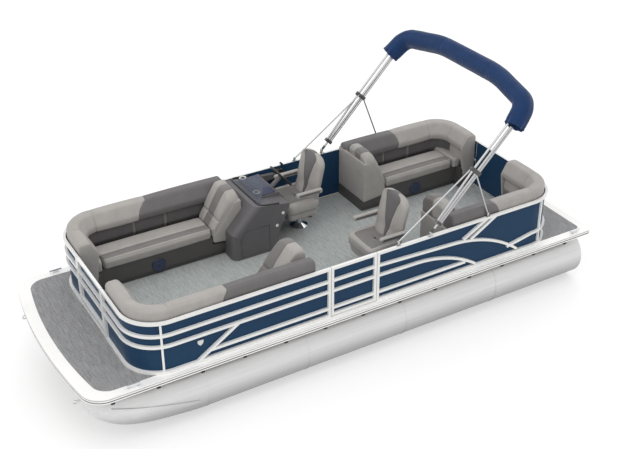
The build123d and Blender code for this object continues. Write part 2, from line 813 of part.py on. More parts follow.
def at_chair(name, shape):
    x, y = chairs[name]
    return Pos(x, y, 0) * shape


# Sun top

def mast_point(along, away=0.0, y=mast_y):
    """Point at a distance along a mast from its pivot, and away from it towards the stern."""
    lean = radians(mast_lean)
    return (mast_x - along * sin(lean) - away * cos(lean), y,
            fence_top + pivot_lift + along * cos(lean) - away * sin(lean))


def eye(point, radius):
    """Round end of a tube of this radius, for a pin along Y."""
    x, y, z = point
    half = radius + eye_proud
    return rod((x, y - half, z), (x, y + half, z), eye_end)


def mast_end():
    """How far up a mast the sloping end face of the boot begins."""
    (end_y, end), (next_y, next_end) = boot_line[:2]
    return end - (end_y - mast_y + mast_radius) * (end_y - next_y) / (next_end - end) - seat


def mast_side():
    mast_length = mast_end()
    mast = rod(mast_point(0), mast_point(mast_length), mast_radius)
    third = rod(mast_point(low_clamp, tube_pitch), mast_point(mast_length, tube_pitch), mast_radius)
    front = rod(mast_point(low_clamp, -tube_pitch), mast_point(high_clamp_front, -tube_spread), mast_radius)
    front += Pos(*mast_point(high_clamp_front, -tube_spread)) * Sphere(mast_radius)
    front += rod(mast_point(high_clamp_front, -tube_spread), mast_point(mast_length, -tube_spread), mast_radius)
    parts = [mast, front, third]
    for along, ahead in ((low_clamp, tube_pitch), (high_clamp_front, tube_spread)):
        past = mast_radius + clamp_wall
        parts.append(clamp(along, -ahead - past, tube_pitch + past))
    pivot = mast_point(0)
    whole = joined(parts) + eye(pivot, mast_radius)
    whole -= rod((pivot[0], 0, pivot[2]), (pivot[0], half_beam, pivot[2]), pin_radius + pin_play)
    for x, _, z in (strut_top_front(), strut_top_rear()):
        whole += rod((x, strut_y - strut_radius, z), (x, mast_y, z), pin_radius)
        whole += rod((x, strut_y + strut_radius + eye_proud + seat, z), (x, mast_y, z), eye_end)
    return whole


def clamp(along, ahead, behind):
    x0, _, z0 = mast_point(along, (ahead + behind) / 2)
    size = Box(behind - ahead, clamp_reach + mast_radius, clamp_length)
    return Pos(x0, mast_y, z0) * Rot(0, -mast_lean, 0) * size


def strut_top_front():
    return mast_point(high_clamp_front, -tube_spread, strut_y)


def strut_top_rear():
    return mast_point(high_clamp_aft, tube_pitch, strut_y)


def strut(top, foot_x):
    foot = (foot_x, strut_y, fence_top + pivot_lift)
    whole = rod(top, foot, strut_radius) + eye(top, strut_radius) + eye(foot, strut_radius)
    for x, _, z in (top, foot):
        whole -= rod((x, 0, z), (x, half_beam, z), pin_radius + pin_play)
    return whole


def mount(x, y, radius):
    """Foot on the top rail: a plate and one ear outboard of the eye of a tube of this radius."""
    face = y + radius + eye_proud + seat
    base = block(x - eye_end * 2, x + eye_end * 2, fence_side - bar, max(face + ear_gauge, fence_side),
                 fence_top, fence_top + ear_gauge)
    return base + block(x - eye_end, x + eye_end, face, face + ear_gauge, fence_top,
                        fence_top + pivot_lift + eye_end)


def mounts():
    x, y, z = mast_point(0)
    main = mount(x, y, mast_radius) + rod((x, y - mast_radius, z), (x, y + mast_radius + ear_gauge, z), pin_radius)
    return [main] + [mount(foot, strut_y, strut_radius) for foot in (front_foot_x, rear_foot_x)]


def boot():
    half = [Vector(y, s) for y, s in boot_line]
    points = [(p.X, p.Y) for p in half] + [(-p.X, p.Y) for p in reversed(half)]
    bends = [boot_bends[0], boot_bends[1], boot_bends[1], boot_bends[0]]
    route = FilletPolyline(*points, radius=bends)
    pivot = mast_point(0, 0, 0)
    plane = Plane(origin=pivot, x_dir=(0, 1, 0),
                  z_dir=Vector(0, 1, 0).cross(Vector(*mast_point(1, 0, 0)) - Vector(*pivot)))
    path = plane * Wire(route.edges())
    face = RectangleRounded(*boot_section, boot_round)
    start = Plane(origin=path @ 0, x_dir=plane.z_dir, z_dir=path % 0)
    return sweep(start * face, path)


# Deck fittings

def cleat(x, y):
    foot = block(x - cleat_length / 4, x + cleat_length / 4, y - cleat_height / 3, y + cleat_height / 3,
                 deck_top, deck_top + cleat_height)
    horn = rod((x - cleat_length / 2, y, deck_top + cleat_height), (x + cleat_length / 2, y, deck_top + cleat_height),
               cleat_height / 3)
    return foot + horn


def cleat_set():
    parts = []
    for x, y in cleats:
        parts += both_sides(cleat(x, y))
    return parts


# All nodes

def build():
    nodes = {}
    nodes["port_tube"] = pontoon()
    nodes["starboard_tube"] = mirror(pontoon(), about=Plane.XZ)
    nodes["deck_frame"] = deck_frame()
    nodes["deck_panel"] = deck_panel()
    nodes["rub_rail"] = rub_rail()
    nodes["cabin_floor"] = cabin_floor()
    nodes["deck_mats"] = deck_mats()
    nodes["motor_pod"] = motor_pod()

    nodes["fence_port_bow"] = joined([port_bow_fence()] + [at_side(h) for h in hinge(True, gate_hinges)])
    nodes["fence_port_stern"] = port_stern_fence()
    hinges = [put(h) for put in (at_bow, at_stern) for h in hinge(True, gate_hinges)]
    nodes["fence_starboard"] = joined([starboard_fence()] + hinges)
    nodes["sheet_port_bow"] = port_bow_sheet()
    nodes["sheet_port_stern"] = port_stern_sheet()
    nodes["sheet_starboard"] = starboard_sheet()
    gates = {"side_gate": (side_gate, at_side), "bow_gate": (bow_gate, at_bow),
             "stern_gate": (stern_gate, at_stern)}
    for name, (posts, put) in gates.items():
        nodes[name] = put(gate_frame(posts[1] - posts[0]))
        nodes[name + "_sheet"] = put(gate_sheet(posts[1] - posts[0]))

    beside = block(0, console_profile[0][0] + wall_gap, -half_beam, 0, deck_top, deck_top + console_profile[1][1])
    beside = [beside, console_shape(-clear)]
    for name, (end, head, arm, foot, side, boat_end) in lounges.items():
        at_console = name == "bow_starboard"
        start_x = console_profile[0][0] + wall_gap if at_console else head
        parts = {"base": lounge_base(end, head, arm, foot, start_x), "seat": lounge_seat(end, head, foot),
                 "back": lounge_back(end, head, arm, foot), "end": lounge_end(end, head, foot)}
        for part, shape in parts.items():
            shape = corner(shape, side, boat_end)
            if at_console and part in ("back", "end"):
                shape = shape - beside[0] - beside[1]
            nodes["lounge_" + name + "_" + part] = shape
    nodes["speakers"] = speakers()

    nodes["console"] = console()
    nodes["console_door"] = console_door()
    nodes["windscreen"] = windscreen()
    nodes["steering_wheel"] = steering_wheel()
    nodes["throttle"] = throttle()
    for name in chairs:
        nodes[name + "_pedestal"] = at_chair(name, chair_foot())
        nodes[name + "_seat"] = at_chair(name, chair_seat())
        nodes[name + "_backrest"] = at_chair(name, chair_rest())
        nodes[name + "_arm_port"] = at_chair(name, chair_arm(1))
        nodes[name + "_arm_starboard"] = at_chair(name, chair_arm(-1))

    nodes["sun_top_mounts"] = [s for part in mounts() for s in both_sides(part)]
    nodes["sun_top_frame"] = both_sides(mast_side())
    nodes["sun_top_boot"] = boot()
    nodes["sun_top_front_struts"] = both_sides(strut(strut_top_front(), front_foot_x))
    nodes["sun_top_rear_struts"] = both_sides(strut(strut_top_rear(), rear_foot_x))
    nodes["cleats"] = cleat_set()
    return nodes


os.makedirs("parts", exist_ok=True)
for node, shape in build().items():
    solids = []
    for piece in shape if isinstance(shape, list) else [shape]:
        solids += piece.solids()
    whole = solids[0] if len(solids) == 1 else Compound(children=solids)
    export_step(whole, "parts/" + node + ".step")
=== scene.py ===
# Looks of the pontoon boat: finishes on the rigid pieces, and upholstery, boot and small fittings
# modelled around them. Metres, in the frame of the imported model: +X bow, +Y port, +Z up.
from bisect import bisect_right
from itertools import accumulate
from math import atan2, ceil, cos, exp, pi, radians, sin, sqrt, tan

import bpy
from mathutils import Matrix, Vector, noise


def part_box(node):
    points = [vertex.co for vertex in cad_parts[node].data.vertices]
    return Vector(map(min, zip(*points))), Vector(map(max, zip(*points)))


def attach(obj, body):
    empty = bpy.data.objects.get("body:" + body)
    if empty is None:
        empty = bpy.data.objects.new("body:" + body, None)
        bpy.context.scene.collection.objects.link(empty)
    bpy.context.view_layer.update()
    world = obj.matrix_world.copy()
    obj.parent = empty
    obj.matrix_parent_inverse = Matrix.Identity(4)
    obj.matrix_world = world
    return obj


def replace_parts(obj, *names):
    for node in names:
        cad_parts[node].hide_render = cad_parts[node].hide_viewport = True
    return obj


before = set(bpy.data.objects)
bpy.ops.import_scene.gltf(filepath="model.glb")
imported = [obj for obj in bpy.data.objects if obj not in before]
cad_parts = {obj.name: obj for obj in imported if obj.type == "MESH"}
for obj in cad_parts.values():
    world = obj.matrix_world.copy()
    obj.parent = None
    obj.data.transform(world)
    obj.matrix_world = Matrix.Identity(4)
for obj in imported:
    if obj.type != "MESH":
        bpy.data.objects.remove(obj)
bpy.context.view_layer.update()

# Photograph's camera
eye = Vector((5.566, 9.698, 7.964))
camera_yaw = 239.294  # degrees from +X
camera_pitch = 29.662  # degrees below level
camera_lens = 62.21
camera_sensor = 36
camera_shift = (-0.0227, -0.0364)
camera_reach = 200.0

deck_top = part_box("cabin_floor")[1].z
fence_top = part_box("sheet_port_bow")[1].z + 0.004
corner_names = ("bow_port", "bow_starboard", "stern_port", "stern_starboard")
chair_names = ("helm", "mate")


# Meshes

def srgb(code):
    """Linear colour of a hexadecimal screen colour."""
    parts = [int(code[i:i + 2], 16) / 255 for i in (1, 3, 5)]
    return [c / 12.92 if c <= 0.04045 else ((c + 0.055) / 1.055) ** 2.4 for c in parts]


def enclosed(points, faces):
    """Signed volume inside a closed set of faces, times six."""
    return sum(points[face[0]].dot(points[b].cross(points[c]))
        for face in faces for b, c in zip(face[1:], face[2:]))


def rings_to_mesh(rings):
    """Points and faces of a closed surface through rings of equally many points."""
    count = len(rings[0])
    last = (len(rings) - 1) * count
    points = [p for ring in rings for p in ring]
    faces = []
    for start in range(0, last, count):
        for j in range(count):
            k = (j + 1) % count
            faces.append((start + j, start + k, start + count + k, start + count + j))
    faces.append(tuple(reversed(range(count))))
    faces.append(tuple(range(last, last + count)))
    return points, faces


def put_object(name, data):
    thing = bpy.data.objects.new(name, data)
    bpy.context.scene.collection.objects.link(thing)
    return thing


def make_piece(name, rings, materials, body, slot, indices=None):
    """Smooth piece through rings, facing outwards, that rides a body."""
    points, faces = rings_to_mesh(rings)
    if enclosed(points, faces) < 0:
        faces = [tuple(reversed(face)) for face in faces]
    mesh = bpy.data.meshes.new(name)
    mesh.from_pydata([tuple(p) for p in points], [], faces)
    for material in materials:
        mesh.materials.append(material)
    if indices:
        mesh.polygons.foreach_set("material_index", indices)
    mesh.shade_smooth()
    mesh.validate()
    mesh.update()
    piece = put_object(name, mesh)
    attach(piece, body)
    return piece


def straight_samples(a, b, step):
    """Places from a towards b, without b."""
    count = max(1, ceil((b - a).length / step))
    return [a.lerp(b, k / count) for k in range(count)]


def arc(before, here, after, radius, step, least):
    """Places on the arc that rounds a corner, with both of its ends."""
    back, ahead = (before - here).normalized(), (after - here).normalized()
    half = back.angle(ahead) / 2
    middle = here + (back + ahead).normalized() * (radius / sin(half))
    first = here + back * (radius / tan(half)) - middle
    sweep = pi - 2 * half
    steps = max(least, ceil(radius * sweep / step))
    turn = 1 if back.x * ahead.y < back.y * ahead.x else -1
    angles = [turn * sweep * k / steps for k in range(steps + 1)]
    return [middle + Vector((first.x * cos(a) - first.y * sin(a), first.x * sin(a) + first.y * cos(a)))
        for a in angles]


class Route:
    """A flat path with rounded corners that gives its place, and its left or right, at any distance."""

    def __init__(self, points, radii=(), to_right=False, step=0.012):
        self.turn = -1 if to_right else 1
        corners = [Vector(p) for p in points]
        previous = corners[0]
        self.places = []
        for before, here, after, radius in zip(corners, corners[1:], corners[2:], radii):
            bend = arc(before, here, after, radius, step, 4)
            self.places += straight_samples(previous, bend[0], step) + bend[:-1]
            previous = bend[-1]
        self.places += straight_samples(previous, corners[-1], step) + [corners[-1]]
        gaps = [(b - a).length for a, b in zip(self.places, self.places[1:])]
        self.lengths = list(accumulate(gaps, initial=0.0))
        self.length = self.lengths[-1]

    def at(self, distance):
        within = min(max(distance, 0.0), self.length)
        i = min(bisect_right(self.lengths, within) - 1, len(self.lengths) - 2)
        share = (within - self.lengths[i]) / (self.lengths[i + 1] - self.lengths[i])
        tangent = (self.places[i + 1] - self.places[i]).normalized()
        place = self.places[i].lerp(self.places[i + 1], share) + tangent * (distance - within)
        before = self.places[max(i - 1, 0)]
        after = self.places[min(i + 2, len(self.places) - 1)]
        smooth = (after - before).normalized()
        return place, Vector((-smooth.y, smooth.x)) * self.turn


seam_clear = 0.018  # no other station lies this close to a seam
seam_stations = (-0.016, -0.009, -0.004, 0.0, 0.004, 0.009, 0.016)


def stations(start, end, step, seams=()):
    """Places between start and end, closer together at seams."""
    count = max(2, ceil((end - start) / step))
    places = [start + (end - start) * i / count for i in range(count + 1)]
    for seam in seams:
        places = [p for p in places if abs(p - seam) > seam_clear or p in (start, end)]
        places += [seam + d for d in seam_stations if start < seam + d < end]
    return sorted(places)


def rounded_polygon(corners, step=0.008):
    """Outline of a polygon whose corners are (x, y, radius), anticlockwise, as dense points."""
    count = len(corners)
    outline = []
    for i, (_, _, radius) in enumerate(corners):
        before, here, after = (Vector(corners[(i + k) % count][:2]) for k in (-1, 0, 1))
        outline += arc(before, here, after, radius, step, 3)
    dense = []
    for a, b in zip(outline, outline[1:] + outline[:1]):
        dense += straight_samples(a, b, 2 * step)
    return dense


def rounded_rectangle(x0, x1, y0, y1, radius, step=0.008):
    return rounded_polygon([(x0, y0, radius), (x1, y0, radius), (x1, y1, radius), (x0, y1, radius)], step)


def outward_normals(profile):
    normals = []
    for i in range(len(profile)):
        along = profile[(i + 1) % len(profile)] - profile[i - 1]
        normals.append(Vector((along.y, -along.x)).normalized())
    return normals


dome_steps = 6
dome_bulge = 0.15  # share of the radius that a pad's end stands out
dome_angles = [pi / 2 * k / dome_steps for k in range(dome_steps + 1)]


def dome(radius, size):
    """Steps that close a pad's end: (distance inside the end, share of the section left)."""
    ramp = [(radius * (1 - sin(a)), 1 - radius / size * (1 - cos(a))) for a in dome_angles]
    edge = ramp[-1][1]
    out = -radius * dome_bulge
    return ramp + [(out * 0.6, edge * 0.72), (out, edge * 0.4), (out * 1.05, edge * 0.08)]


def closed_stations(start, end, ramps, step, seams=()):
    """Places along a pad, each with the share of its section, closed by a ramp at both ends."""
    low, high = ramps
    entries = [(start + inside, share) for inside, share in reversed(low)]
    entries += [(place, 1.0) for place in stations(start + low[0][0], end - high[0][0], step, seams)[1:-1]]
    return entries + [(end - inside, share) for inside, share in high]


def stretches(entries, seams):
    """For each face along a pad, how many seams lie before it."""
    return [sum((a + b) / 2 > seam for seam in seams) for (a, _), (b, _) in zip(entries, entries[1:])]


def centroid(points):
    return sum(points[1:], points[0]) / len(points)


# Materials

class Finish:
    """A procedural material, with its colour mottled by code, change, scale and detail, if given."""

    def __init__(self, name, *mottling):
        self.material = bpy.data.materials.new(name)
        self.material.use_nodes = True
        self.nodes = self.material.node_tree.nodes
        self.links = self.material.node_tree.links
        self.shader = self.nodes["Principled BSDF"]
        self.bump = None
        self.coordinates = self.node("TexCoord", "Object")
        if mottling:
            self.set(Base_Color=self.mottled(*mottling))

    def node(self, kind, out, settings=(), **values):
        """Output of a new node, with its settings made and its inputs set or linked."""
        node = self.nodes.new("ShaderNode" + kind)
        for name, value in settings:
            setattr(node, name, value)
        self.fill(node, values)
        return node.outputs[out]

    def fill(self, node, values):
        for name, value in values.items():
            socket = node.inputs[name.replace("_", " ")]
            if isinstance(value, bpy.types.NodeSocket):
                self.links.new(value, socket)
            else:
                socket.default_value = value

    def set(self, **values):
        """Set or link inputs of the shader."""
        self.fill(self.shader, values)

    def stretched(self, scale):
        """Coordinates times one scale, or one along each of X, Y and Z."""
        scale = scale if isinstance(scale, (list, tuple)) else (scale,) * 3
        return self.node("Mapping", "Vector", Scale=scale, Vector=self.coordinates)

    def noise(self, scale, detail, roughness=0.55):
        return self.node("TexNoise", "Fac", Scale=1.0, Detail=detail, Roughness=roughness,
            Vector=self.stretched(scale))

    def waves(self, scale, direction, distortion=0.0):
        return self.node("TexWave", "Fac", [("bands_direction", direction)], Scale=scale,
            Distortion=distortion, Vector=self.coordinates)

    def spread(self, value, low, high, to_low=0, to_high=1):
        return self.node("MapRange", "Result", Value=value, From_Min=low, From_Max=high, To_Min=to_low,
            To_Max=to_high)

    def mixed(self, share, dark, light):
        """Colour between two, each a list of three numbers or another node's colour."""
        dark, light = ([*c, 1.0] if isinstance(c, (list, tuple)) else c for c in (dark, light))
        return self.node("Mix", "Result", [("data_type", "RGBA")], Factor=share, A=dark, B=light)

    def mottled(self, code, change, scale, detail):
        """Colour that wanders from a screen colour by a share of it."""
        return self.mixed(self.spread(self.noise(scale, detail), 0.35, 0.65), *shades(srgb(code), change))

    def rough(self, low, high, scale, detail, roughness=0.55):
        self.set(Roughness=self.spread(self.noise(scale, detail, roughness), 0.3, 0.7, low, high))

    def relief(self, height, distance, strength):
        below = {"Normal": self.bump} if self.bump else {}
        self.bump = self.node("Bump", "Normal", Distance=distance, Strength=strength, Height=height, **below)
        self.set(Normal=self.bump)


def shades(colour, change):
    return [c * (1 - change) for c in colour], [min(1.0, c * (1 + change)) for c in colour]


def vinyl(name, code):
    """Marine vinyl: pebbled grain, faint mottling, soft sheen."""
    f = Finish(name, code, 0.05, 7, 4)
    f.rough(0.42, 0.56, 60, 2)
    f.relief(f.node("TexVoronoi", "Distance", Scale=1.0, Vector=f.stretched(420)), 0.0004, 0.5)
    f.relief(f.noise(9, 3), 0.006, 0.18)
    f.set(Specular_IOR_Level=0.42, Sheen_Weight=0.08, Sheen_Roughness=0.5)
    return f.material


def moulded(name, code, rough=(0.38, 0.5), coat=0.0):
    """Rotationally moulded or gel-coated plastic with a fine grain."""
    f = Finish(name, code, 0.04, 5, 4)
    f.rough(*rough, 40, 3)
    f.relief(f.noise(320, 2), 0.0004, 0.35)
    f.set(Coat_Weight=coat, Coat_Roughness=0.12)
    return f.material


def painted(name, code, rough=(0.22, 0.3), coat=0.6, specular=0.5):
    """Powder-coated or enamelled aluminium with a faint orange peel."""
    f = Finish(name, code, 0.03, (3, 3, 6), 3)
    f.rough(*rough, 25, 3)
    f.relief(f.noise(150, 2), 0.0003, 0.25)
    f.set(Coat_Weight=coat, Coat_Roughness=0.06, Specular_IOR_Level=specular)
    return f.material


def metal(name, code, grain, rough, change=0.07):
    """Metal with grain drawn along one direction."""
    f = Finish(name, code, change, grain, 4)
    f.rough(*rough, grain, 5, 0.65)
    f.relief(f.noise([g * 6 for g in grain], 3), 0.0002, 0.25)
    f.set(Metallic=1.0)
    return f.material


def rolled_painted_shade(name, low, high, heights):
    """Tube aluminium, drawn along the boat, with painted shade: its colour darkens by height towards the
    keel.
    """
    f = Finish(name)
    grain = (1.2, 40, 40)
    height = f.node("SeparateXYZ", "Z", Vector=f.coordinates)
    # painted shade: the colour runs from the dark low tone at the keel up to the bright high tone
    f.set(Base_Color=f.mixed(f.spread(height, *heights), srgb(low), f.mottled(high, 0.04, grain, 4)))
    f.rough(0.32, 0.42, grain, 5, 0.65)
    f.relief(f.noise((7, 240, 240), 3), 0.0002, 0.25)
    f.set(Metallic=0.5)
    return f.material


def ridged(name, code, line):
    """Bright moulding with thin darker lines along it at even heights."""
    f = Finish(name)
    lines = f.spread(f.waves(10.0, "Z"), 0.10, 0.20, 1, 0)
    f.set(Base_Color=f.mixed(lines, f.mottled(code, 0.03, (2, 2, 8), 4), srgb(line)))
    f.rough(0.35, 0.45, (3, 3, 40), 4)
    f.relief(f.noise((6, 6, 200), 3), 0.0002, 0.25)
    f.set(Metallic=0.15)
    return f.material


def woven(name, low, high, streak, thread=150.0):
    """Woven vinyl flooring: mottled streaks across the boat over a fine basket weave."""
    f = Finish(name)
    streaks = f.spread(f.noise((*streak, 1), 4, 0.7), 0.3, 0.7)
    fleck = f.spread(f.noise((260, 60, 1), 2, 0.6), 0.46, 0.6)
    f.set(Base_Color=f.mixed(fleck, f.mixed(streaks, srgb(low), srgb(high)),
        f.mixed(streaks, *shades(srgb(high), 0.1))))
    for direction in "XY":
        f.relief(f.waves(thread, direction, 0.6), 0.0009, 0.5)
    f.rough(0.6, 0.75, 30, 2)
    return f.material


def canvas(name, code):
    """Solution-dyed acrylic canvas: fine plain weave, slack folds, matt."""
    f = Finish(name, code, 0.07, 6, 5)
    for direction in "YZ":
        f.relief(f.waves(230, direction, 0.8), 0.0006, 0.5)
    f.relief(f.noise((14, 30, 14), 4), 0.006, 0.35)
    f.set(Roughness=0.85, Sheen_Weight=0.25, Sheen_Roughness=0.4, Specular_IOR_Level=0.25)
    return f.material


def tinted(name, code):
    """Clear acrylic with a tint."""
    f = Finish(name)
    f.set(Base_Color=f.mixed(f.noise(4, 2), *shades(srgb(code), 0.04)))
    f.set(Roughness=0.04, Alpha=0.42, Transmission_Weight=0.0, Coat_Weight=1.0, Coat_Roughness=0.03)
    return f.material


LIGHT, DARK, MID, PAINTED_SHADE = range(4)
# deep is a darker copy of the vinyl: painted shade on the lower pads under the upper pillows
vinyl_tones = (("light", "#a29e9a"), ("dark", "#656263"), ("mid", "#757270"), ("deep", "#575455"))
upholstery = [vinyl("vinyl_" + tone, code) for tone, code in vinyl_tones]

base_plastic = moulded("base_plastic", "#4b4948")
console_gel = moulded("console_gel", "#5f5d5f", (0.45, 0.6))
console_dark = moulded("console_dark", "#565455", coat=0.15)
black_plastic = moulded("black_plastic", "#1d1d1f", (0.3, 0.45))
rail_paint = painted("rail_paint", "#e9e9e7")
panel_paint = painted("panel_paint", "#203d59", (0.3, 0.4), 0.0, 0.10)
# painted shade: the tubes' colour darkens below 0.42 m towards the keel
tube_metal_painted_shade = rolled_painted_shade("tube_metal_painted_shade", "#7c7c7e", "#dddddd", (0.06, 0.42))
frame_metal = metal("frame_metal", "#a9abae", (3, 3, 50), (0.42, 0.55))
trim_metal = ridged("trim_metal", "#fbfaf8", "#63666c")
mast_metal = metal("mast_metal", "#b9b9ba", (9, 9, 2), (0.30, 0.36), 0.03)
chrome = metal("chrome", "#dcdde0", (20, 20, 20), (0.04, 0.1), 0.03)
floor_weave = woven("floor_weave", "#7f8584", "#bbbfbe", (84, 6.6))
mat_weave = woven("mat_weave", "#626264", "#a1a1a2", (84, 5.4), 90.0)
boot_canvas = canvas("boot_canvas", "#17345e")
screen_tint = tinted("screen_tint", "#3a4356")
board = moulded("board", "#6e5b48", (0.6, 0.75))
speaker_blue = moulded("speaker_blue", "#2b3550", (0.35, 0.45))
dial_white = moulded("dial_white", "#dededb", (0.25, 0.35))
clamp_dark = moulded("clamp_dark", "#4a4a4b", (0.4, 0.55))
speaker_ring = moulded("speaker_ring", "#1b2740", (0.25, 0.35), 0.4)

node_finishes = {
    tube_metal_painted_shade: ["port_tube", "starboard_tube"],
    frame_metal: ["deck_frame", "motor_pod"],
    board: ["deck_panel"],
    trim_metal: ["rub_rail"],
    floor_weave: ["cabin_floor"],
    mat_weave: ["deck_mats"],
    rail_paint: ["fence_port_bow", "fence_port_stern", "fence_starboard",
        "side_gate", "bow_gate", "stern_gate"],
    panel_paint: ["sheet_port_bow", "sheet_port_stern", "sheet_starboard",
        "side_gate_sheet", "bow_gate_sheet", "stern_gate_sheet"],
    console_gel: ["console", "console_door"],
    screen_tint: ["windscreen"],
    black_plastic: ["steering_wheel", "throttle"],
    chrome: ["helm_pedestal", "mate_pedestal", "cleats"],
    mast_metal: ["sun_top_frame", "sun_top_front_struts", "sun_top_rear_struts", "sun_top_mounts"],
    speaker_blue: ["speakers"],
    base_plastic: ["lounge_%s_base" % name for name in corner_names],
    upholstery[LIGHT]: [
        *("lounge_%s_%s" % (name, part) for name in corner_names for part in ("seat", "back", "end")),
        *("%s_%s" % (name, part) for name in chair_names
            for part in ("seat", "backrest", "arm_port", "arm_starboard"))],
    boot_canvas: ["sun_top_boot"],
}


def dress_nodes():
    for material, names in node_finishes.items():
        for name in names:
            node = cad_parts[name]
            node.data.materials.clear()
            node.data.materials.append(material)


# Lounges. Each is worked out as if it stood at the bow to port, then mirrored into its corner.

pad_skin = 0.001  # a pad's underside above what carries it
lid_gap = 0.008  # between a lid and its neighbours
inner_skin = 0.002  # inboard faces behind the lid's edge
end_inset = 0.012  # pillows and pads stop this far before the arm's end
back_round = 0.39  # radius of the wall line at a corner
pillow_depth = 0.230
pillow_top = 0.140
pillow_low = 0.268  # underside of the upper pillow above the base
pillow_bow = 0.035  # how far the seam between its colours bends
lower_depth = 0.195
toe = 0.05  # how far the lower pad draws in at its foot
strap_half = 0.019
arm_light = 0.32  # length of the lower pad's light stretch at the arm, left without the painted shade
stripe = (0.042, 0.158)  # the seat's darker stripe, from its inboard edge
bolster_high = 0.232
end_round = 0.05  # inboard and outboard rounding of an end back
end_closing = 0.35
end_top = 0.145  # an end's depth at its crest
end_lean = 0.012
end_crest = 0.20  # length of the crest's fall towards the aisle
end_drop = 0.12
end_seams = {1: (0.48, 0.99), -1: (0.34, 0.68)}  # shares of the width, by side of the boat
shell_thick = 0.030
shell_top = {1: 0.56, -1: 0.713}  # top of an end's panel above the deck, by side of the boat
arm_skirt = 0.11  # how far the arm's panel reaches below the seat's foot
arm_thick = 0.034
groove_depth = 0.0055
groove_width = 0.007
swell = 0.007
lean_reach = 0.22  # how far from a slanting seam its lean dies away


def nearer_farther(a, b):
    """Distances of two places from the boat's middle, the smaller one first."""
    return sorted((abs(a), abs(b)))


class Lounge:
    """Sizes of one lounge, read from its boxes and turned to the port bow corner."""

    def __init__(self, name, seam, seam_low, straps):
        self.name = name
        self.side = -1 if name.endswith("starboard") else 1
        self.end = 1 if name.startswith("bow") else -1
        self.seam, self.seam_low, self.straps = seam, seam_low, straps
        (lo, hi), (seat_lo, seat_hi) = (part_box("lounge_%s_%s" % (name, part)) for part in ("back", "seat"))
        self.head, self.far = nearer_farther(lo.x, hi.x)
        self.arm, self.wall = nearer_farther(lo.y, hi.y)
        self.foot, self.top = lo.z, hi.z
        self.seat_x = nearer_farther(seat_lo.x, seat_hi.x)
        self.seat_y = nearer_farther(seat_lo.y, seat_hi.y)
        self.seat_z = (seat_lo.z, seat_hi.z)
        self.inner = self.seat_y[0] + inner_skin
        self.end_lo, self.end_hi = (Vector(v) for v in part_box("lounge_%s_end" % name))
        self.end_head = nearer_farther(self.end_lo.x, self.end_hi.x)[0]
        self.end_foot = self.seat_x[0] - lid_gap - self.end_head
        self.crest = deck_top + shell_top[self.side]
        self.route = Route([(self.head, self.wall), (self.far, self.wall), (self.far, self.arm)],
            [back_round], to_right=True)

    def piece(self, part, rings, indices, body="boat"):
        placed = [[Vector((p.x * self.end, p.y * self.side, p.z)) for p in ring] for ring in rings]
        piece = make_piece("%s_%s" % (self.name, part), placed, upholstery, body, "vinyl", indices)
        return piece


def groove(distance, seams, depth=groove_depth, width=groove_width):
    return sum(depth * exp(-((distance - s) / width) ** 2) for s in seams)


def crown(distance, marks, height=swell):
    """Swelling between neighbouring marks."""
    for a, b in zip(marks, marks[1:]):
        if a <= distance <= b:
            share = (distance - a) / (b - a)
            return height * (4 * share * (1 - share)) ** 0.5
    return 0.0


def swept_pad(route, profile, start, end, seams, band, radii, step=0.028, lean=None, firm=None):
    """Rings of a padded section along a route, with its ends closed, and each face's material.

    profile holds points as (distance from the route to the left, height). lean gives how far the
    first seam leans along the route at each height. band gives a face's material from its stretch
    between seams and its place on the section. firm gives the share of the swelling at a point."""
    normals = outward_normals(profile)
    middle = centroid(profile)
    half = min(max(p[axis] for p in profile) - min(p[axis] for p in profile) for axis in (0, 1)) / 2
    marks = [start, *seams, end]
    entries = closed_stations(start, end, [dome(radius, half) for radius in radii], step, seams)
    rings = []
    for place, share in entries:
        dent = groove(place, seams) - crown(place, marks)
        ring = []
        for point, normal in zip(profile, normals):
            soft = firm(point) if firm else 1.0
            p = middle + (point - middle) * share - normal * dent * soft * share
            shift = lean(point.y) * max(0.0, 1 - abs(place - seams[0]) / lean_reach) ** 2 if lean else 0.0
            spot, left = route.at(place + shift)
            ring.append(Vector((*(spot + left * p.x), p.y)))
        rings.append(ring)
    between = [a.lerp(b, 0.5) for a, b in zip(profile, profile[1:] + profile[:1])]
    indices = [band(stretch, point) for stretch in stretches(entries, seams) for point in between]
    return rings, indices + [band(0, middle), band(len(seams), middle)]


def upper_pillow(lounge):
    low, high = lounge.foot + pillow_low, lounge.top
    profile = rounded_polygon([(pillow_depth - 0.006, low, 0.03), (pillow_depth, low + 0.075, 0.07),
        (pillow_top, high - 0.006, 0.045), (0.010, high, 0.045), (0.006, low, 0.02)])

    def seam_lean(height):
        share = (height - low) / (high - low)
        return (lounge.seam_low - lounge.seam) * (1 - share) + pillow_bow * sin(pi * share)

    corner = lounge.far - back_round - lounge.head
    seams = [lounge.seam - lounge.head, corner, corner + back_round * pi / 2]
    rings, indices = swept_pad(lounge.route, profile, lid_gap, lounge.route.length - end_inset, seams,
        lambda stretch, point: LIGHT if stretch else DARK, (0.03, 0.03),
        lean=seam_lean, firm=lambda point: 0.3 if point.x < 0.04 else 1.0)
    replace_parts(lounge.piece("upper_pillow", rings, indices), "lounge_%s_back" % lounge.name)


def lower_pad(lounge):
    low, high, depth = lounge.foot + pad_skin, lounge.foot + pillow_low + 0.012, lower_depth
    profile = rounded_polygon([(depth - toe, low, 0.01), (depth - toe, low + 0.02, 0.03),
        (depth, low + 0.12, 0.03), (depth - 0.012, high, 0.03), (0.01, high, 0.012), (0.01, low, 0.012)])
    seams = [strap - lounge.head + half for strap in lounge.straps for half in (-strap_half, strap_half)]
    seams.append(lounge.route.length - arm_light)

    def band(stretch, point):
        # straps are mid and the stretch at the arm is light; the rest takes the deep tone, painted shade
        # under the upper pillow
        return {1: MID, 3: MID, 5: LIGHT}.get(stretch, PAINTED_SHADE)

    rings, indices = swept_pad(lounge.route, profile, lounge.end_foot * 0.5,
        lounge.route.length - end_inset, seams, band, (0.02, 0.03))
    lounge.piece("lower_pad", rings, indices)


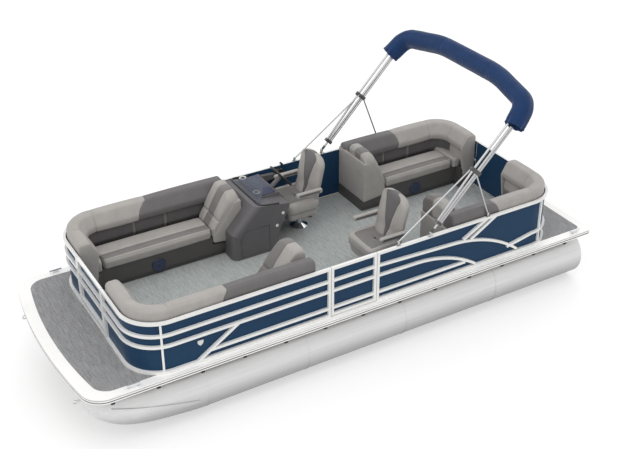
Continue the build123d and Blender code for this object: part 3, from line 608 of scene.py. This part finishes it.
def seat_cushion(lounge):
    """Cushion of the lid, with a darker stripe along it. Its section starts at the inboard edge."""
    wide = lounge.seat_y[1] - lounge.seat_y[0]
    low, high = lounge.seat_z
    profile = rounded_polygon([(0.012, low + pad_skin, 0.02), (wide - 0.03, low + pad_skin, 0.03),
        (wide - 0.004, high - 0.002, 0.05), (0.0, high + 0.006, 0.045)], 0.005)

    def lengthwise(point):
        """How far the top is drawn in or swells, across the seat."""
        if point.y < high - 0.012:
            return 0.0
        return groove(point.x, stripe, 0.006, 0.006) - crown(point.x, (0.02, *stripe, wide - 0.03), 0.008)

    def band(stretch, point):
        return MID if point.y > high - 0.03 and stripe[0] < point.x < stripe[1] else LIGHT

    shaped = [p - n * lengthwise(p) for p, n in zip(profile, outward_normals(profile))]
    x0, x1 = lounge.seat_x
    route = Route([(x0, lounge.seat_y[0]), (x1, lounge.seat_y[0])])
    rings, indices = swept_pad(route, shaped, 0.0, x1 - x0, [], band, (0.03, 0.03), 0.04)
    piece = lounge.piece("seat_cushion", rings, indices, "seat_lid_" + lounge.name)
    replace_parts(piece, "lounge_%s_seat" % lounge.name)


def corner_cushion(lounge):
    """Fixed cushion between the lid and the arm."""
    x0, x1 = lounge.seat_x[1] + lid_gap, lounge.far - lower_depth + 0.03
    wide = lounge.wall - lower_depth + 0.04 - lounge.inner
    low, high = lounge.foot + pad_skin, lounge.seat_z[1] + 0.012
    profile = rounded_polygon([(0.0, low, 0.015), (wide, low, 0.01), (wide, high, 0.02), (0.0, high, 0.045)],
        0.006)
    route = Route([(x0, lounge.inner), (x1, lounge.inner)])
    rings, indices = swept_pad(route, profile, 0.0, x1 - x0, [], lambda stretch, point: LIGHT,
        (0.03, 0.02), 0.04)
    lounge.piece("corner_cushion", rings, indices)


def end_cushion(lounge):
    """Reclined back rest at the head of a lounge: a pillow over a bolster, in three stripes across."""
    outer = lounge.wall - pillow_depth + 0.012
    length = outer - lounge.inner
    foot, top = lounge.end_foot - 0.006, lounge.end_hi.z - 0.004
    base, seat, split = lounge.foot, lounge.seat_z[1], lounge.foot + bolster_high
    if lounge.side > 0:
        head = [(end_lean, top, 0.065), (end_lean, lounge.crest + 0.045, 0.02),
            (shell_thick, lounge.crest - 0.01, 0.012)]
    else:
        head = [(end_lean, top, 0.05), (shell_thick, top - 0.14, 0.02)]
    front = rounded_polygon([(shell_thick, base, 0.004), (foot, base, 0.02), (foot, seat, 0.05),
        (end_top, top, 0.065), *head], 0.006)
    normals = outward_normals(front)
    middle = centroid(front)
    seams = [length * share for share in end_seams[lounge.side]]
    marks = [0.0, *seams, length]
    domed = [(end_round * (1 - sin(a)), 1 - end_closing * (1 - cos(a))) for a in dome_angles]
    entries = closed_stations(0.0, length, (domed, domed), 0.02, seams)
    rings = []
    for place, share in entries:
        fallen = min(1.0, max(0.0, (place - length + end_crest) / end_crest))
        drop = end_drop * (1 - sqrt(1 - fallen ** 2))
        ring = []
        for p, n in zip(front, normals):
            dent = groove(place, seams, 0.005, 0.006) - crown(place, marks, 0.009) if n.x > -0.5 else 0.0
            if n.x > 0.3 and p.y > base + 0.02:
                dent += 0.016 * exp(-((p.y - split) / 0.010) ** 2) - crown(p.y, (split, top), 0.012)
            q = middle + (p - middle) * (1 - (1 - share) * end_closing) - n * dent * share
            rise = max(0.0, (q.y - base) / (top - base))
            ring.append(Vector((lounge.end_head + q.x, outer - place, q.y - drop * rise ** 1.5)))
        rings.append(ring)
    indices = [MID if stretch == 1 else LIGHT for stretch in stretches(entries, seams) for _ in front]
    cushion = lounge.piece("end_cushion", rings, indices + [LIGHT, LIGHT])
    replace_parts(cushion, "lounge_%s_end" % lounge.name)


def end_panels(lounge):
    """Panels at the head and on the aisle side, which reach down beside the base."""
    under, crest, seat = lounge.end_lo.z + 0.002, lounge.crest, lounge.seat_z[1]
    foot, wall = lounge.end_foot - 0.006, lounge.wall - 0.002
    side = rounded_polygon([(0.0, under, 0.01), (foot, under + 0.038, 0.03), (foot, seat - 0.10, 0.04),
        (shell_thick + 0.05, crest, 0.05), (0.0, crest, 0.02)], 0.01)
    face = rounded_polygon([(lounge.inner, under, 0.03), (wall, under, 0.01), (wall, crest, 0.02),
        (lounge.inner, crest, 0.06)], 0.012)
    shifted = [Vector((lounge.end_head + p.x, p.y)) for p in side]
    panel_piece(lounge, "end_side", shifted, 1, lounge.inner, shell_thick)
    panel_piece(lounge, "end_head", face, 0, lounge.end_head, shell_thick)


def arm_panel(lounge):
    """Panel that closes the arm's end."""
    far, high, low = lounge.far - 0.004, lounge.top - 0.012, lounge.foot - arm_skirt
    outline = rounded_polygon([(far - pillow_depth + 0.050, low, 0.02), (far, low, 0.02), (far, high, 0.05),
        (far - pillow_top, high, 0.06), (far - pillow_depth - 0.006, high - 0.16, 0.07)], 0.01)
    panel_piece(lounge, "arm_end", outline, 1, lounge.arm - 0.006, arm_thick)


def panel_piece(lounge, part, outline, axis, near, thick):
    """Upholstered panel of an outline in the plane across X (axis 0) or Y (axis 1)."""
    low = Vector((min(p.x for p in outline), min(p.y for p in outline)))
    high = Vector((max(p.x for p in outline), max(p.y for p in outline)))
    centre, half = (low + high) / 2, (high - low) / 2
    steps = ((thick, 0.20), (thick, 0.010), (thick * 0.75, 0.0), (thick * 0.25, 0.0), (0.003, 0.003),
        (0.0, 0.009), (-0.002, 0.03), (-0.004, 0.20))
    rings = []
    for depth, inset in steps:
        shares = Vector([max(0.04, 1 - inset / extent) for extent in half])
        drawn = [centre + (p - centre) * shares for p in outline]
        rings.append([Vector((near + depth, q.x, q.y) if axis == 0 else (q.x, near + depth, q.y))
            for q in drawn])
    lounge.piece(part, rings, [LIGHT] * ((len(rings) - 1) * len(outline) + 2))


lounges = [
    Lounge("bow_port", 1.684, 1.730, (1.30, 1.75)),
    Lounge("bow_starboard", 1.679, 1.845, (1.468, 1.878)),
    Lounge("stern_port", 1.88, 1.92, (1.66, 2.05)),
    Lounge("stern_starboard", 1.898, 1.935, (1.722, 2.126)),
]


def make_lounges():
    for lounge in lounges:
        for make in (upper_pillow, lower_pad, seat_cushion, corner_cushion, end_cushion, end_panels,
                arm_panel):
            make(lounge)


# Chairs, worked out facing the bow with the swivel at X = Y = 0

seat_round = 0.09
seat_insets = (0.03, 0.042, 0.056, 0.072, 0.09, 0.115, 0.14, 0.17, 0.20, 0.23, 0.255)
seat_edge_insets = 4  # this many of them are light, and the rest are the darker insert
rest_lean = 13.0  # degrees
rest_front = -0.050
rest_thick = 0.130
rest_half = 0.255
rest_halves = 24  # faces on each half of the front
rest_steps = 34
rest_dome = 0.16
rest_power = 2.6
rest_least = 0.22  # width left at the crest, as a share
rest_seam = 0.45  # share of the faces inside the insert
arm_inset = 0.012
arm_top_inset = 0.024
arm_heel = 0.026
arm_tip = 0.028
arm_insert = (0.12, 0.9)  # where the dark insert starts and ends, as shares of the length


class Chair:
    def __init__(self, name):
        self.name = name
        lo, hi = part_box(name + "_pedestal")
        self.place = Vector(((lo.x + hi.x) / 2, (lo.y + hi.y) / 2, 0))
        self.seat_lo, self.seat_hi = (v - self.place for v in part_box(name + "_seat"))
        self.rest_lo, self.rest_hi = (v - self.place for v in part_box(name + "_backrest"))

    def piece(self, part, rings, indices, body, node):
        placed = [[p + self.place for p in ring] for ring in rings]
        piece = make_piece("%s_%s" % (self.name, part), placed, upholstery, body, "vinyl", indices)
        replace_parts(piece, node)


def plan_ring(x0, x1, half, inset, heights, count=96):
    """Rounded rectangle in plan, drawn in by inset, with its height from a function."""
    r = max(seat_round - inset, 0.02)
    outline = rounded_rectangle(x0 + inset, x1 - inset, inset - half, half - inset, r, 0.02)
    outline.append(outline[0])
    lengths = list(accumulate(((b - a).length for a, b in zip(outline, outline[1:])), initial=0.0))
    ring, i = [], 0
    for k in range(count):
        d = lengths[-1] * k / count
        while lengths[i + 1] < d:
            i += 1
        p = outline[i].lerp(outline[i + 1], (d - lengths[i]) / (lengths[i + 1] - lengths[i]))
        ring.append(Vector((p.x, p.y, heights(p.x, p.y))))
    return ring


def chair_seat(chair):
    x0, x1, half = chair.seat_lo.x, chair.seat_hi.x, chair.seat_hi.y
    low, high = chair.seat_lo.z, chair.seat_hi.z

    def top(x, y):
        side = abs(y) / half
        bolster = 0.012 * exp(-((side - 0.80) / 0.13) ** 2)
        dish = -0.022 * max(0.0, 1 - side ** 2)
        front = -0.03 * max(0.0, (x - x1 + 0.14) / 0.14) ** 2
        seam = -0.008 * exp(-((side - 0.62) / 0.025) ** 2)
        return high - 0.012 + bolster + dish + front + seam

    # insets and heights of the side, from below: shell, seam and roll
    steps = [(0.12, 0.002), (0.055, 0.002), (0.036, 0.01), (0.03, 0.03), (0.026, 0.085), (0.028, 0.104),
        (0.012, 0.108), (0.002, 0.13), (0.0, 0.165), (0.002, 0.195), (0.008, 0.215), (0.018, 0.230)]
    rings = [plan_ring(x0, x1, half, inset, lambda x, y, z=low + up: z) for inset, up in steps]
    rings += [plan_ring(x0, x1, half, inset, top) for inset in seat_insets]
    count = len(rings[0])
    light = len(steps) - 1 + seat_edge_insets
    indices = [LIGHT] * (light * count) + [MID] * ((len(rings) - 1 - light) * count)
    chair.piece("seat_cushion", rings, indices + [LIGHT, MID], chair.name + "_chair", chair.name + "_seat")


def rest_section(v, scale):
    """Ring of a back rest at a share of its height, seen from above, turned anticlockwise."""
    width = rest_half * scale
    insert = 0.04 + 0.56 * max(0.0, v - 0.14) / 0.86 + 0.22 * max(0.0, v - 0.82) / 0.18
    waist = 0.014 * exp(-((v - 0.34) / 0.1) ** 2)
    thin = min(1.0, scale ** 0.5)
    front, back = [], []
    for k in range(2 * rest_halves + 1):
        t = -1 + k / rest_halves
        a = abs(t)
        if a <= rest_seam:
            y = a / rest_seam * insert
            puff = 0.006 * (1 - (a / rest_seam) ** 2)
        else:
            y = insert + (a - rest_seam) / (1 - rest_seam) * (1 - insert)
            puff = 0.030 * sin(pi * min(1.0, (y - insert) / (1 - insert) * 1.1) ** 0.8) ** 0.9
        puff -= 0.007 * exp(-((y - insert) * width / 0.007) ** 2)
        round_off = (1 - y ** 3.2) ** (1 / 3.2) if y < 1 else 0.0
        across = y * width if t >= 0 else -y * width
        front.append(Vector(((rest_thick * 0.30 + puff - waist) * thin * round_off, across)))
        back.append(Vector((-rest_thick * 0.56 * thin * round_off, across)))
    return front + back[-2:0:-1]


def chair_back(chair):
    """Back rest: two bolsters beside a dark insert that narrows downwards, over a padded shell."""
    low, high = chair.rest_lo.z - 0.002, chair.rest_hi.z
    pivot = Vector((rest_front, 0, chair.seat_hi.z))
    turn = Matrix.Rotation(radians(-rest_lean), 3, "Y")
    drop = chair.seat_hi.z - low
    total = (high - pivot.z) / cos(radians(rest_lean)) - 0.02 + drop
    rings, indices = [], []
    for i in range(rest_steps + 1):
        v = i / rest_steps
        domed = max(0.0, 1 - total * (1 - v) / rest_dome)
        scale = (1 - domed ** rest_power) ** (1 / rest_power)
        if v < 0.05:
            scale = 0.93 + 0.07 * (v / 0.05) ** 0.5
        section = rest_section(v, max(scale, rest_least))
        height = -drop + v * total
        rings.append([turn @ Vector((p.x - rest_thick / 2, p.y, height)) + pivot for p in section])
        if i == rest_steps:
            break
        for j in range(len(section)):
            on_front = j < 2 * rest_halves
            inside = on_front and abs(-1 + (j + 0.5) / rest_halves) < rest_seam
            behind = 1 - (j + 0.5 - 2 * rest_halves) / rest_halves
            over = not on_front and abs(behind) < 0.62 and v > 0.88
            indices.append(DARK if (inside and v > 0.12) or over else LIGHT)
    chair.piece("back_cushion", rings, indices + [LIGHT, DARK], chair.name + "_chair",
        chair.name + "_backrest")


def chair_arm(chair, side):
    node = "%s_arm_%s" % (chair.name, side)
    lo, hi = (v - chair.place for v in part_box(node))
    wide, tall = hi.y - lo.y, hi.z - lo.z
    mid = (lo.z + hi.z) / 2
    profile = rounded_polygon([(0.0, lo.z + 0.004, 0.018), (wide, lo.z + 0.004, 0.018),
        (wide, hi.z, 0.024), (0.0, hi.z, 0.024)], 0.005)
    normals = outward_normals(profile)
    middle = centroid(profile)
    on_side = [abs(n.x) > 0.9 and lo.z + arm_inset < p.y < hi.z - arm_top_inset
        for p, n in zip(profile, normals)]
    rings, indices = [], []
    for x, share in closed_stations(lo.x, hi.x, (dome(arm_heel, tall / 2), dome(arm_tip, tall / 2)), 0.02):
        along = (x - lo.x) / (hi.x - lo.x)
        inserted = arm_insert[0] < along < arm_insert[1]
        slim = 1 - 0.16 * along
        ring = []
        for p, n, sideways in zip(profile, normals, on_side):
            q = middle + (p - middle) * share - n * (0.003 if sideways and inserted else 0.0)
            ring.append(Vector((x, lo.y + q.x, mid + (q.y - mid) * slim + 0.004 * along)))
        rings.append(ring)
        indices += [DARK if sideways and inserted else LIGHT for sideways in on_side]
    indices = indices[:-len(profile)] + [LIGHT, LIGHT]
    chair.piece("armrest_" + side, rings, indices, "%s_armrest_%s" % (chair.name, side), node)


def make_chairs():
    for chair in map(Chair, chair_names):
        chair_seat(chair)
        chair_back(chair)
        for side in ("port", "starboard"):
            chair_arm(chair, side)


# Sun top's boot

mast_pivot = Vector((-0.890, 0.0, fence_top + 0.038))
mast_lean = 44.0  # degrees
mast_out = 1.236  # masts from the middle line
mast_up = Vector((-sin(radians(mast_lean)), 0, cos(radians(mast_lean))))
mast_aft = Vector((-cos(radians(mast_lean)), 0, -sin(radians(mast_lean))))
boot_line = ((1.275, 1.545), (1.205, 1.850), (0.560, 1.990))  # across the boat and up the masts
boot_bends = (0.21, 1.5)
boot_size = (0.220, 0.225)
boot_round = 0.085
boot_hem = 0.035
boot_seam = 0.46  # seams from the middle


def make_boot():
    points = [*boot_line, *((-y, s) for y, s in reversed(boot_line))]
    route = Route(points, [*boot_bends, *reversed(boot_bends)])
    a, b = (size / 2 for size in boot_size)
    profile = rounded_rectangle(-b, b, -a, a, boot_round)
    normals = outward_normals(profile)
    seams = (route.length / 2 - boot_seam, route.length / 2 + boot_seam)
    rings = []
    for place in stations(0.0, route.length, 0.012):
        spot, left = route.at(place)
        edge = min(place, route.length - place)
        gather = exp(-edge / 0.06)
        stitched = 0.004 * exp(-((edge - boot_hem) / 0.006) ** 2) + groove(place, seams, 0.0045, 0.006)
        ring = []
        for p, n in zip(profile, normals):
            around = atan2(p.y, p.x)
            pucker = noise.noise(Vector((place * 7.0, cos(around) * 1.6, sin(around) * 1.6)))
            fine = noise.noise(Vector((place * 26.0, cos(around) * 2.4, sin(around) * 2.4 + 7)))
            dent = -0.003 - 0.0025 * pucker - 0.001 * fine + stitched
            dent += gather * (0.010 + 0.010 * sin(9 * around + 2 * sin(place * 3)))
            q = p - n * dent
            along = spot + left * q.x
            ring.append(mast_pivot + Vector((0, along.x, 0)) + mast_up * along.y + mast_aft * q.y)
        rings.append(ring)
    # hem turned inwards, so that the ends are open sleeves round the tubes
    sleeves = []
    for edge, near in ((rings[0], rings[6]), (rings[-1], rings[-7])):
        centre = centroid(edge)
        inward = (centroid(near) - centre).normalized()
        sleeves.append([[centre + (p - centre) * share + inward * deep for p in edge]
            for share, deep in ((0.94, 0.0), (0.90, 0.05), (0.2, 0.055))])
    rings = sleeves[0][::-1] + rings + sleeves[1]
    piece = make_piece("boot", rings, [boot_canvas], "sun_top", "boot_navy")
    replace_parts(piece, "sun_top_boot")


# Fittings that the solids leave out

def circle(centre, ahead, radius, sides):
    side = ahead.cross(Vector((0, 0, 1)) if abs(ahead.z) < 0.9 else Vector((0, 1, 0))).normalized()
    up = side.cross(ahead)
    angles = [2 * pi * k / sides for k in range(sides)]
    return [centre + (side * cos(a) + up * sin(a)) * radius for a in angles]


def swept_tube(name, points, radius, material, body, slot, sides=14):
    """Round bar along points in space."""
    points = [Vector(p) for p in points]
    rings = []
    for before, here, after in zip(points[:1] + points, points, points[1:] + points[-1:]):
        rings.append(circle(here, (after - before).normalized(), radius, sides))
    make_piece(name, rings, [material], body, slot)


def turned(name, centre, axis, outline, material, body, slot, sides=40):
    """Body of revolution: outline holds (distance along the axis, radius)."""
    axis = Vector(axis).normalized()
    rings = [circle(Vector(centre) + axis * along, axis, max(radius, 0.0005), sides)
        for along, radius in outline]
    make_piece(name, rings, [material], body, slot)


def slab(name, centre, sizes, turn, edge, material, body, slot):
    """Box with rounded edges, turned about Y by an angle in degrees."""
    x, y, z = (v / 2 for v in sizes)
    bevel = edge / 2
    plan = rounded_rectangle(-x, x, -y, y, edge, 0.004)
    normals = outward_normals(plan)
    matrix = Matrix.Rotation(radians(turn), 3, "Y")
    rings = []
    for level, inset in ((-z, bevel), (-z + bevel, 0.0), (z - bevel, 0.0), (z, bevel)):
        rings.append([Vector(centre) + matrix @ Vector((p.x - n.x * inset, p.y - n.y * inset, level))
            for p, n in zip(plan, normals)])
    make_piece(name, rings, [material], body, slot)


helm_middle = -0.83
helm_port = -0.340  # the console's port face
screen_line = ((0.236, -0.357, 1.470), (0.33, -0.360, 1.483), (0.42, -0.364, 1.495), (0.462, -0.373, 1.499),
    (0.486, -0.392, 1.502), (0.496, -0.425, 1.503), (0.498, -0.60, 1.504), (0.498, -0.95, 1.504),
    (0.496, -1.115, 1.503), (0.486, -1.148, 1.502), (0.462, -1.166, 1.499), (0.42, -1.175, 1.495),
    (0.33, -1.179, 1.483), (0.236, -1.182, 1.470))
screen_foot_radius = 0.012
dash_top_place, dash_top_size, dash_top_turn = (0.295, helm_middle, 1.5055), (0.262, 0.50, 0.006), 2.5
dash_place, dash_size, dash_turn = (0.100, helm_middle, 1.462), (0.118, 0.46, 0.006), -53.6
dash_edge = 0.002
cup_places = ((0.372, -0.690, 1.504), (0.350, -1.105, 1.505))
cup_lean = (0.043, 0, 1)
cup_ring = ((-0.004, 0.047), (0.004, 0.048), (0.010, 0.042), (0.010, 0.034), (0.0, 0.030), (-0.004, 0.030))
cup_well = ((-0.004, 0.029), (0.0015, 0.029), (0.002, 0.010))
disc_places = ((0.190, 1.332), (0.275, 1.178))  # along and up the console's port face
disc = ((-0.003, 0.021), (0.004, 0.021), (0.006, 0.018), (0.004, 0.011), (0.006, 0.004))
side_line = ((0.205, 1.214), (0.35, 1.224), (0.50, 1.238), (0.64, 1.254))
side_line_radius = 0.0028
wheel_hub, wheel_rake, hub_proud = Vector((-0.010, -0.750, 1.603)), radians(40), 0.012
hub_outline = ((-0.004, 0.034), (0.006, 0.034), (0.010, 0.028), (0.011, 0.0))


def make_console_fittings():
    black = (black_plastic, "boat", "helm_black")
    swept_tube("screen_foot", screen_line, screen_foot_radius, *black)
    slab("dash_top", dash_top_place, dash_top_size, dash_top_turn, dash_edge, speaker_blue, "boat",
        "console_shell")
    for i, place in enumerate(cup_places):
        turned("cup_ring_%d" % i, place, cup_lean, cup_ring, dial_white, "boat", "cleat_chrome")
        turned("cup_well_%d" % i, place, cup_lean, cup_well, *black)
    for i, (x, z) in enumerate(disc_places):
        turned("side_disc_%d" % i, (x, helm_port, z), (0, 1, 0), disc, dial_white, "boat", "console_shell")
    # moulding line across the port side
    swept_tube("side_line", [(x, helm_port - 0.0005, z) for x, z in side_line], side_line_radius,
        console_dark, "boat", "console_shell", 8)
    slab("dash", dash_place, dash_size, dash_turn, dash_edge, *black)
    away = Vector((-cos(wheel_rake), 0, sin(wheel_rake)))
    turned("wheel_hub", wheel_hub + away * hub_proud, away, hub_outline, dial_white, "helm_wheel",
        "helm_black", 32)


speaker_outline = ((-0.002, 0.088), (0.006, 0.088), (0.013, 0.084), (0.014, 0.079), (0.008, 0.074),
    (-0.002, 0.074))
speaker_cone = ((0.0, 0.030), (0.010, 0.030), (0.016, 0.020), (0.018, 0.004))
speaker_along = {1: 1.765, -1: -1.960}  # by end of the boat
speaker_up = 0.135


def make_speaker_rings():
    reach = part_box("speakers")[1].y
    for lounge in lounges:
        spot = (speaker_along[lounge.end], lounge.side * reach, deck_top + speaker_up)
        inboard = (0, -lounge.side, 0)
        for part, outline, sides in (("ring", speaker_outline, 40), ("cone", speaker_cone, 24)):
            turned("%s_speaker_%s" % (lounge.name, part), spot, inboard, outline, speaker_ring, "boat",
                "speaker_navy", sides)


# along the mast, ahead and aft of it, and how far the dress stands out past the clamp
clamps = ((0.150, 0.056, 0.056, 0.001), (0.880, 0.098, 0.062, 0.006))
clamp_wide, clamp_long, clamp_edge = 0.036, 0.044, 0.006
cap_reach = (0.016, 0.070)
cap_radius = 0.0165


def make_mast_fittings():
    dark = (clamp_dark, "sun_top", "helm_black")
    for name, side in (("port", 1), ("starboard", -1)):
        foot = mast_pivot + Vector((0, side * mast_out, 0))
        for i, (along, ahead, behind, skin) in enumerate(clamps):
            centre = foot + mast_up * along + mast_aft * ((behind - ahead) / 2)
            sizes = (ahead + behind + skin, clamp_wide + skin, clamp_long + skin)
            slab("%s_clamp_%d" % (name, i), centre, sizes, -mast_lean, clamp_edge, *dark)
        swept_tube(name + "_mast_cap", [foot + mast_up * reach for reach in cap_reach], cap_radius, *dark)


light_place = (2.04, 1.07)
light_shape = ((-0.034, 0.030), (0.034, 0.030), (0.036, 0.004), (0.022, -0.024), (0.0, -0.040),
    (-0.022, -0.024), (-0.036, 0.004))
light_steps = ((-0.002, 1.0), (0.004, 1.0), (0.009, 0.84), (0.011, 0.3))  # depth and share of the shape


def make_port_light():
    """Shield-shaped docking light on the port bow panel."""
    centre = Vector((light_place[0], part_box("sheet_port_bow")[1].y, light_place[1]))
    rings = [[centre + Vector((x * share, depth, z * share)) for x, z in light_shape]
        for depth, share in light_steps]
    make_piece("port_light", rings, [dial_white], "boat", "rail_white")


lever_line = ((0.02, 0.10, -0.004), (0.01, 0.17, -0.006), (-0.02, 0.23, -0.002), (-0.05, 0.262, 0.004))
lever_radius = 0.0075


def make_seat_levers():
    for chair in map(Chair, chair_names):
        start = chair.place + Vector((0, 0, chair.seat_lo.z))
        swept_tube(chair.name + "_lever", [start + Vector(p) for p in lever_line], lever_radius,
            black_plastic, chair.name + "_chair", "helm_black")


# Floor, light and camera

floor_half = 60.0
floor_plain = (0.8, 0.8, 0.8, 1)
floor_tone = (0.56, 0.56, 0.56, 1)
floor_glow = 0.5
sky_levels = (0.92, 1.0)  # for the light that falls, and as seen
# name, place, size and power
lamps = (("key", (4.0, 3.0, 9.0), 5.0, 190.0), ("fill", (-6.0, -2.0, 8.0), 6.0, 90.0))


def seen_ray(nodes, links):
    """1 for rays from the camera, in reflections and through glass, and 0 for the light that falls."""
    path = nodes.new("ShaderNodeLightPath")
    total = path.outputs["Is Camera Ray"]
    for name in ("Is Glossy Ray", "Is Transmission Ray"):
        add = nodes.new("ShaderNodeMath")
        add.operation = "ADD"
        add.use_clamp = True
        links.new(total, add.inputs[0])
        links.new(path.outputs[name], add.inputs[1])
        total = add.outputs[0]
    return total


def make_floor():
    corners = [(x * floor_half, y * floor_half, 0) for x, y in ((-1, -1), (1, -1), (1, 1), (-1, 1))]
    mesh = bpy.data.meshes.new("floor")
    mesh.from_pydata(corners, [], [(0, 1, 2, 3)])
    floor = put_object("floor", mesh)
    f = Finish("floor_white")
    f.set(Base_Color=floor_plain, Roughness=0.9, Specular_IOR_Level=0.1)
    # the floor as seen glows a little, so that it is white in the open and keeps the shadow
    both = f.nodes.new("ShaderNodeAddShader")
    f.links.new(f.node("BsdfDiffuse", 0, Color=floor_tone), both.inputs[0])
    f.links.new(f.node("Emission", 0, Strength=floor_glow), both.inputs[1])
    share = f.nodes.new("ShaderNodeMixShader")
    for i, value in enumerate((seen_ray(f.nodes, f.links), f.shader.outputs[0], both.outputs[0])):
        f.links.new(value, share.inputs[i])
    f.links.new(share.outputs[0], f.nodes["Material Output"].inputs["Surface"])
    mesh.materials.append(f.material)


def make_light():
    world = bpy.data.worlds.new("studio")
    bpy.context.scene.world = world
    world.use_nodes = True
    nodes, links = world.node_tree.nodes, world.node_tree.links
    background = nodes["Background"]
    level = nodes.new("ShaderNodeMapRange")
    level.inputs["To Min"].default_value, level.inputs["To Max"].default_value = sky_levels
    links.new(seen_ray(nodes, links), level.inputs["Value"])
    links.new(level.outputs["Result"], background.inputs["Strength"])
    background.inputs["Color"].default_value = (1, 1, 1, 1)
    for name, place, size, power in lamps:
        light = bpy.data.lights.new(name, "AREA")
        light.size = size
        light.energy = power
        lamp = put_object(name, light)
        lamp.location = place
        lamp.rotation_euler = (Vector((0, 0, 1)) - Vector(place)).to_track_quat("-Z", "Y").to_euler()


def make_camera():
    data = bpy.data.cameras.new("camera")
    data.lens = camera_lens
    data.sensor_width = camera_sensor
    data.shift_x, data.shift_y = camera_shift
    data.clip_end = camera_reach
    camera = put_object("camera", data)
    camera.location = eye
    yaw, pitch = radians(camera_yaw), radians(camera_pitch)
    ahead = Vector((cos(yaw) * cos(pitch), sin(yaw) * cos(pitch), -sin(pitch)))
    camera.rotation_mode = "QUATERNION"
    camera.rotation_quaternion = ahead.to_track_quat("-Z", "Y")
    bpy.context.scene.camera = camera


make_camera()
make_floor()
make_light()
dress_nodes()
make_lounges()
make_chairs()
make_boot()
make_console_fittings()
make_speaker_rings()
make_mast_fittings()
make_port_light()
make_seat_levers()
bpy.context.scene.view_settings.view_transform = "Standard"
